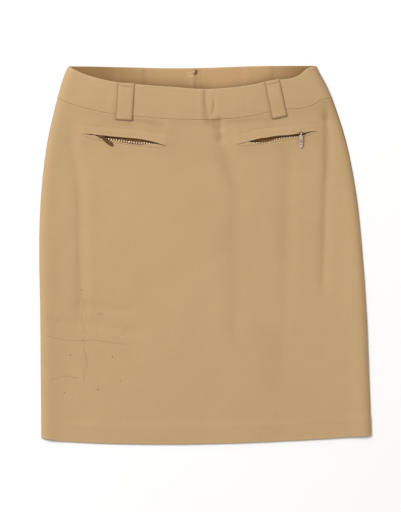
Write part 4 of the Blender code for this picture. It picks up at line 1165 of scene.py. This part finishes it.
# waisted, squared oval plate, a bar under each side, and the bridge that holds the ring
def pocketSlider(side, pocket):
    centre, along, normal = sliderFrame(pocket)
    halfX, halfY = sliderLook["half"]
    low, high = sliderLook["plate"]
    turn = turns(40)
    waist = 1 - sliderLook["waist"] * np.clip(-np.cos(turn), 0, 1) ** 2
    outline = np.column_stack([halfX * squared(np.cos(turn), sliderLook["square"]),
                               halfY * waist * squared(np.sin(turn), sliderLook["square"])])
    bodies = [roundedPrism(outline, low, high, sliderLook["round"])]
    (start, end), thin = sliderLook["bar"], sliderLook["bar half"]
    for sign in (-1, 1):
        y = sign * (halfY - sliderLook["flange"] / 2) * sliderLook["bar in"]
        bar = np.array([(start, y - thin), (end, y - thin), (end, y + thin), (start, y + thin)])
        bodies.append(roundedPrism(bar, sliderLook["foot"], low + 0.3, sliderLook["bar round"]))
    top, bend = bridgeHeight(), sliderLook["bend"]
    corner = sliderLook["bridge half"] - bend
    turn = np.radians(np.linspace(0, 90, 7))
    arch = [(-corner - bend * math.cos(t), 0.0, top - bend + bend * math.sin(t)) for t in turn]
    path = [(-sliderLook["bridge half"], 0.0, high - sliderLook["root"])] + arch
    path += [(-x, y, z) for x, y, z in path[::-1]]
    bodies.append(rod(path, sliderLook["bridge radius"]))
    return assemble(f"zipSlider_{side}", bodies, axesOf(along, normal), centre, darkMetal)


# ring's middle, and axes whose x runs to the tab's tip, laid a little off the cloth
def pullFrame(pocket):
    origin, _, normal = sliderFrame(pocket)
    centre = Vector(origin) + normal * bridgeHeight()
    heading = math.radians(pocket["pull"])
    length = pullLook["rows"][-1][0]
    tip = centre + Vector((math.cos(heading), math.sin(heading), 0.0)) * length
    tip.z = float(frontOuter(tip.x, tip.y)) + pullLook["lift"] + pullLook["half wall"]
    xAxis = (tip - centre).normalized()
    axis = normal.cross(xAxis).normalized()
    return np.array(centre), axesOf(xAxis, xAxis.cross(axis))


# tab: half width from the rows, section a squared oval, ribs or a chevron pressed into its face with tarnish
# in them, and painted shade along its sides
def pullTab(side):
    rows = np.array(pullLook["rows"])
    x = spacedLines(rows[0, 0], rows[-1, 0], pullLook["stations"])
    half = np.interp(x, rows[:, 0], rows[:, 1])
    half = np.convolve(np.pad(half, 3, mode="edge"), np.ones(7) / 7, mode="valid")[:, None]
    turn = turns(40, 0.5)
    y = half * squared(np.cos(turn), pullLook["square"])
    z = squared(np.sin(turn), pullLook["square"])
    along = np.broadcast_to(x[:, None], y.shape)
    if side == "left":
        start, end = pullLook["ribs"]
        ribs = 0.5 + 0.5 * np.cos(2 * math.pi * (along - pullLook["rib middle"]) / pullLook["rib pitch"])
        sunk = ribs * ease(along - start, 1.0) * ease(end - along, 1.0)
    else:
        (start, end), (at, slope, width) = pullLook["panel"], pullLook["chevron"]
        chevron = bell(along - at - slope * np.abs(y), width)
        panel = ease(along - start, 0.8) * ease(half - np.abs(y) - 0.7, 0.5) * ease(end - along, 0.8)
        sunk = np.maximum(chevron, 0.6 * panel)
    rim = 1 - ease((half - np.abs(y)) / np.maximum(half, 0.1) * 3.0, 1.0)
    tip = rounded(x[-1] - x, *pullLook["tip round"])[:, None]
    thick = pullLook["half wall"] * (tip - pullLook["relief"] * sunk)
    points = np.stack([along, y, thick * z], axis=-1)
    dull = np.maximum(pullLook["relief dull"] * sunk, pullLook["rim dull"] * rim)
    return points.reshape(-1, 3), tubeFaces(*y.shape), dull.ravel()


# round ring and the tab that hangs from it, as one body
def pocketPull(side, pocket, finish):
    centre, axes = pullFrame(pocket)
    turn = turns(36)
    ring = np.stack([pullLook["ring"] * np.cos(turn), 0 * turn, pullLook["ring"] * np.sin(turn)], axis=-1)
    bodies = [rod(ring, pullLook["tube"], 14, closed=True), pullTab(side)]
    return assemble(f"zipPull_{side}", bodies, axes, centre, finish)


backZipLook = {  # centre-back zip, seen from inside
    "length": 185.0, "half": 12.0, "wall": 0.4, "coil half": 2.0, "coil": 0.6, "drop": 1.0, "pitch": 1.3,
    "slider": (4.6, 7.6, 2.2), "slider drop": 2.0, "slider right": 2.2, "lean": 24.0, "tab": (0.42, 0.86),
    "tab high": 0.95, "tarnish": 0.86,
    "seams": (-7.6, -4.6, -1.5), "seam top": 10.0, "seam length": 8.5, "seam radius": 0.42,
}


# height of the back's waist edge at the centre back
def backTop():
    return float(edgeLine("back waist", acrossOf(cut["centre back"], 280.2)))


# tape with a ribbed coil down its middle: a profile carried down, the coil's height rippling
def backZip():
    look = backZipLook
    y = backTop() - look["drop"] - np.linspace(0, look["length"], 720)
    ripple = 0.5 + 0.5 * np.cos(2 * math.pi * y / look["pitch"])
    middle, flat, coil = cut["centre back"] + 0 * y, look["wall"] + 0 * y, look["coil"]
    base = backCover(y, acrossOf(middle, y)) + cut["sewn gap"]
    crown = look["wall"] + coil * (0.72 + 0.28 * ripple)
    groove = look["wall"] + coil * (0.45 + 0.15 * ripple)
    half = [(-look["half"], 0 * y + 0.02), (-look["half"] + 2.0, flat), (-8.0, flat),
            (-look["coil half"] - 0.3, flat), (-1.7, flat + 0.5 * coil),
            (-1.1, crown), (-0.5, crown), (0.0, groove)]
    profile = half + [(-a, b) for a, b in half[-2::-1]]
    points = np.stack([np.stack([middle + a, y, base + b], axis=-1) for a, b in profile], axis=1)
    x, faces = points[..., 0], tubeFaces(*points.shape[:2])
    uv = np.stack(np.broadcast_arrays(np.array([a for a, _ in profile]), y[:, None]), axis=-1).reshape(-1, 2)
    # painted shade where the zip lies inside the mouth
    deep = paintedMouthShade(x, points[..., 1], acrossOf(x, points[..., 1]))
    return makeMesh("backZip", points.reshape(-1, 3), faces, zipTape, uv, turn=True, deep=deep)


# upper face of the back zip: its tape, plus a blunt bell over the coil
def tapeTop(x, y):
    crown = 0.8 * backZipLook["coil"] * np.exp(-((x - cut["centre back"]) / 1.6) ** 4)
    return backCover(y, acrossOf(x, y)) + cut["sewn gap"] + backZipLook["wall"] + crown


# body with a narrow dark tab locked down on it, both leaning a little to the right
def backSlider():
    look = backZipLook
    width, length, height = look["slider"]
    base = cloth["band wall"] + 2 * cut["gap"] + look["wall"] + look["coil"]
    lean = math.radians(look["lean"])
    axes = np.array([(math.cos(lean), -math.sin(lean), 0), (math.sin(lean), math.cos(lean), 0), (0, 0, 1)])
    y = backTop() - look["slider drop"] - length / 2
    centre = np.array((cut["centre back"] + look["slider right"], y, base))
    turn = turns(36)
    wide = width / 2 * (0.8 + 0.2 * np.sin(turn)) * squared(np.cos(turn), 0.6)
    outline = np.column_stack([wide, length / 2 * squared(np.sin(turn), 0.7)])
    tab = outline * look["tab"] + (0.5, -0.3)
    bodies = [(*roundedPrism(outline, 0.0, height - 0.9, 0.4), look["tarnish"]),
              (*roundedPrism(tab, height - look["tab high"], height, 0.3), 1.0)]
    return assemble("backZipSlider", bodies, axes, centre, brightMetal)


stitchLook = {"length": 2.6, "pitch": 3.4, "radius": 0.26}
hemStitchLook = {"length": 1.3, "pitch": 6.5, "radius": 0.2, "in": 2.0}  # a blind hem shows only pricks


# path resampled at an even pitch: each stitch's middle and direction
def stitchPlaces(path, pitch):
    path = np.asarray(path, float)
    along = np.concatenate([[0.0], np.cumsum(np.linalg.norm(np.diff(path, axis=0), axis=1))])
    count = max(int(along[-1] / pitch), 1)
    at = (np.arange(count) + 0.5) * along[-1] / count
    read = lambda s: np.column_stack([np.interp(s, along, path[:, k]) for k in (0, 1)])
    middle, ahead = read(at), read(at + 0.2) - read(at - 0.2)
    return middle, ahead / np.linalg.norm(ahead, axis=1)[:, None]


# stitches as short spindles that follow a height function, their ends pulled into the cloth
def stitches(name, paths, height, finish=None, look=stitchLook):
    t = np.array((0.0, 0.12, 0.5, 0.88, 1.0))
    swell = np.array((0.25, 0.8, 1.0, 0.8, 0.25)) * look["radius"]
    sink = np.array((-0.22, -0.02, 0.10, -0.02, -0.22))
    turn = turns(5)
    places = [stitchPlaces(path, look["pitch"]) for path in paths]
    middle, ahead = np.concatenate([p[0] for p in places]), np.concatenate([p[1] for p in places])
    aside = np.column_stack([-ahead[:, 1], ahead[:, 0]])
    lengthwise = (t - 0.5) * look["length"]
    flat = middle[:, None, None] + ahead[:, None, None] * lengthwise[None, :, None, None]
    flat = flat + aside[:, None, None] * (swell[:, None] * np.cos(turn))[None, :, :, None]
    z = height(flat[..., 0], flat[..., 1]) + sink[None, :, None] + (swell[:, None] * np.sin(turn))[None]
    points = np.concatenate([flat, z[..., None]], axis=-1)
    one = tubeFaces(len(t), len(turn))
    sizes = [[np.array(f) for f in one if len(f) == n] for n in (4, len(turn))]
    shift = len(t) * len(turn) * np.arange(len(middle))[:, None, None]
    faces = sum(((np.array(group) + shift).reshape(-1, len(group[0])).tolist() for group in sizes), [])
    return makeMesh(name, points.reshape(-1, 3), faces, finish or thread, sharp=80, turn=True)


# the line sewn above a slit
def stitchLine(pocket):
    rows = pocket["stitch"]
    along = np.linspace(rows[0][0], rows[-1][0], 80)
    return np.column_stack(pocketPoint(pocket, along, tableLine(rows, along)))


# the line that holds the hem's turning, from side to side
def hemLine():
    across = np.linspace(0.012, 0.988, 300)
    heights = edgeLine("hem", across) + cut["hem depth"] - hemStitchLook["in"]
    return np.column_stack([insetX(across, heights), heights])


ornament = {  # low on the left: running stitches along lines, and round knots as rows of x, y, radius
    "lines": (((-238, -121), (-204, -128), (-168, -127), (-118, -134)),
              ((-181, -64), (-186, -92), (-181, -118)),
              ((-183, -137), (-178, -160), (-184, -188)), ((-232, -186), (-210, -181), (-190, -184))),
    "knots": ((-222, -97, 1.0), (-203, -150, 1.2), (-158, -88, 1.1), (-140, -152, 1.2), (-121, -112, 0.9),
              (-212, -206, 1.1), (-162, -201, 1.2), (-128, -188, 1.0), (-183, -127.5, 1.3), (-186, -52, 1.0)),
    "petals": 5, "ring": 4.2, "petal": 0.6, "rise": 0.35, "sink": 0.08, "pitch": 3.8, "thread": 0.40,
}


# flattened round knots: rings of a low dome at each place, on the panel
def dots(name, places, sizes, finish):
    t = np.radians((0, 35, 65, 85))
    rings = (sizes[:, None, None] * np.cos(t)[None, :, None])[..., None] * unitRing(8)
    flat = places[:, None, None] + rings
    z = panelOuter(flat[..., 0], flat[..., 1]) - ornament["sink"]
    z = z + ornament["rise"] * np.sin(t)[None, :, None]
    points = np.concatenate([flat, z[..., None]], axis=-1)
    faces = []
    for k in range(len(places)):
        faces += tubeFaces(4, 8, offset=32 * k)
    return makeMesh(name, points.reshape(-1, 3), faces, finish, sharp=70, turn=True)


# dotted lines of running stitch with scattered knots, every other knot ringed by small ones
def ornamentPieces():
    look = ornament
    knotRows = np.array(look["knots"])
    ring = (knotRows[::2, None, :2] + look["ring"] * unitRing(look["petals"])).reshape(-1, 2)
    petals = dots("ornamentPetals", ring, np.full(len(ring), look["petal"]), dotThread)
    knots = dots("ornamentKnots", knotRows[:, :2], knotRows[:, 2], knotThread)
    sewnLook = dict(stitchLook, pitch=look["pitch"], radius=look["thread"])
    sewn = stitches("ornamentLines", look["lines"], panelOuter, dotThread, sewnLook)
    return petals, knots, sewn


camera = {"centre": (-7.95, -1.1), "frame": 768.0, "lens": 200.0, "sensor": 36.0}


# straight above, so far off that the picture's longer side spans the frame's size in mm
def setCamera():
    made = bpy.data.cameras.new("camera")
    made.lens = camera["lens"]
    made.sensor_width = camera["sensor"]
    made.clip_end = 20.0
    obj = addObject("camera", made)
    distance = camera["frame"] * camera["lens"] / camera["sensor"]
    obj.location = (camera["centre"][0] * mm, camera["centre"][1] * mm, distance * mm)
    bpy.context.scene.camera = obj


setCamera()

pieces = {}
pieces["panel"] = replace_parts(frontPanel(), "front_panel")
pieces["band"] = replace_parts(frontWaistband(), "front_waistband")
print("front cloth made")

for side in ("left", "right"):
    pieces[f"back {side}"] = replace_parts(
        backPiece(f"backPanel_{side}", side, True, twillCloth, 0), f"back_panel_{side}")
    pieces[f"back band {side}"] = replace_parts(
        backPiece(f"backWaistband_{side}", side, False, facingCloth, 90), f"back_waistband_{side}")
    pieces[f"loop {side}"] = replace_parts(frontLoop(side, frontLoops[side]), f"belt_loop_front_{side}")
    pieces[f"back loop {side}"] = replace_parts(backLoop(side, backLoops[side]), f"belt_loop_back_{side}")
print("back cloth and loops made")

for side, pocket in pockets.items():
    pieces[f"welt {side}"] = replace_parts(pocketWelt(side, pocket), f"pocket_welt_{side}")
    pieces[f"bag {side}"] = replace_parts(pocketBag(side, pocket), f"pocket_bag_{side}")
    along = np.linspace(-1, 1, 110) * tapeLook["share"] * pocket["half"]
    for half, edgeOf, turn in (("lower", lowerRow, -1), ("upper", upperRow, 1)):
        title = f"{half.capitalize()}_{side}"
        tape = zipTapeStrip(f"zipTape{title}", pocket, along, edgeOf(pocket, along), turn)
        pieces[f"tape {half} {side}"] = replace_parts(tape, f"zip_row_{half}_{side}")
        phase = 0.25 - 0.25 * turn
        pieces[f"teeth {half} {side}"] = zipTeeth(f"zipTeeth{title}", pocket, edgeOf, turn, phase)
    pieces[f"slider {side}"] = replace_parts(pocketSlider(side, pocket), f"zip_slider_{side}")
    # the left pull is the same nickel as the right one; its dark finish is a painted dark reflection
    pull = pocketPull(side, pocket, darkMetal if side == "left" else brightMetal)
    pieces[f"pull {side}"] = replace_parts(pull, f"zip_pull_{side}")
print("pockets and zips made")

pieces["back zip"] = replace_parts(backZip(), "back_zip")
pieces["back slider"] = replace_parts(backSlider(), "back_zip_slider")

pieces["hem stitches"] = stitches("hemStitches", [hemLine()], panelOuter, look=hemStitchLook)
seamMiddle, seamHalf = backTop() - backZipLook["seam top"], backZipLook["seam length"] / 2
tapeSeams = [[(cut["centre back"] + x, seamMiddle + k * seamHalf) for k in (1, -1)]
             for x in backZipLook["seams"]]
seamLook = dict(stitchLook, radius=backZipLook["seam radius"])
pieces["back zip seams"] = stitches("tapeStitches", tapeSeams, tapeTop, lightThread, seamLook)
pieces["pocket stitches"] = stitches("pocketStitches", [stitchLine(p) for p in pockets.values()], panelOuter)
for side, loop in frontLoops.items():
    top, down, aside, _ = loopFrame(loop)
    half = loop["width"] / 2 - loopLook["stitch in"]
    tack = [top + down * loopLook["tack row"] + sign * aside * half for sign in (-1, 1)]
    pieces[f"loop stitches {side}"] = stitches(f"loopStitches_{side}", [tack], loopOuter(loop))
pieces["ornament petals"], pieces["ornament knots"], pieces["ornament lines"] = ornamentPieces()
print("sewing made")

for label, piece in pieces.items():
    body = {"pull left": "left_pull", "pull right": "right_pull"}.get(label, "skirt")
    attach(piece, body)

onFront = [pieces[k] for k in pieces if k.startswith(("welt", "tape", "teeth", "ornament"))]
onFront += [pieces["hem stitches"], pieces["pocket stitches"]]


studio = {
    "world": 0.63, "world colour": (1.0, 0.935, 0.83),  # warm fill, so that creases stay brown
    "key": 332.0, "key colour": (0.87, 0.915, 1.0), "key from": (-3.1, 2.5, 4.2), "key size": 2.2,
    "floor": 0.83, "floor change": 0.02, "floor half": 6000.0, "floor drop": 0.05,
}


# warm even fill, one soft cool key from the upper left, and a pale matt floor
def setStudio():
    world = bpy.data.worlds.new("studio")
    world.use_nodes = True
    fill = {"Color": (*studio["world colour"], 1.0), "Strength": studio["world"]}
    setInputs(world.node_tree.nodes["Background"], fill)
    bpy.context.scene.world = world
    lamp = bpy.data.lights.new("key", "AREA")
    lamp.energy, lamp.size, lamp.color = studio["key"], studio["key size"], studio["key colour"]
    key = addObject("key", lamp)
    key.location = studio["key from"]
    key.rotation_euler = (-Vector(studio["key from"])).to_track_quat("-Z", "Y").to_euler()
    made, tree, shader = newMaterial("paleFloor")
    shade = noiseNode(tree, objectPlace(tree), 3.0)
    level, change = studio["floor"], studio["floor change"]
    tree.links.new(mixColour(tree, shade, (level,) * 3, (level + change,) * 3), shader.inputs["Base Color"])
    setInputs(shader, {"Roughness": 0.9, "Specular IOR Level": 0.1})
    span, z = studio["floor half"], -studio["floor drop"]
    corners = [(-span, -span, z), (span, -span, z), (span, span, z), (-span, span, z)]
    makeMesh("floor", corners, [[0, 1, 2, 3]], made)
    bpy.context.scene.view_settings.view_transform = "Standard"
    bpy.context.scene.view_settings.look = "None"


setStudio()
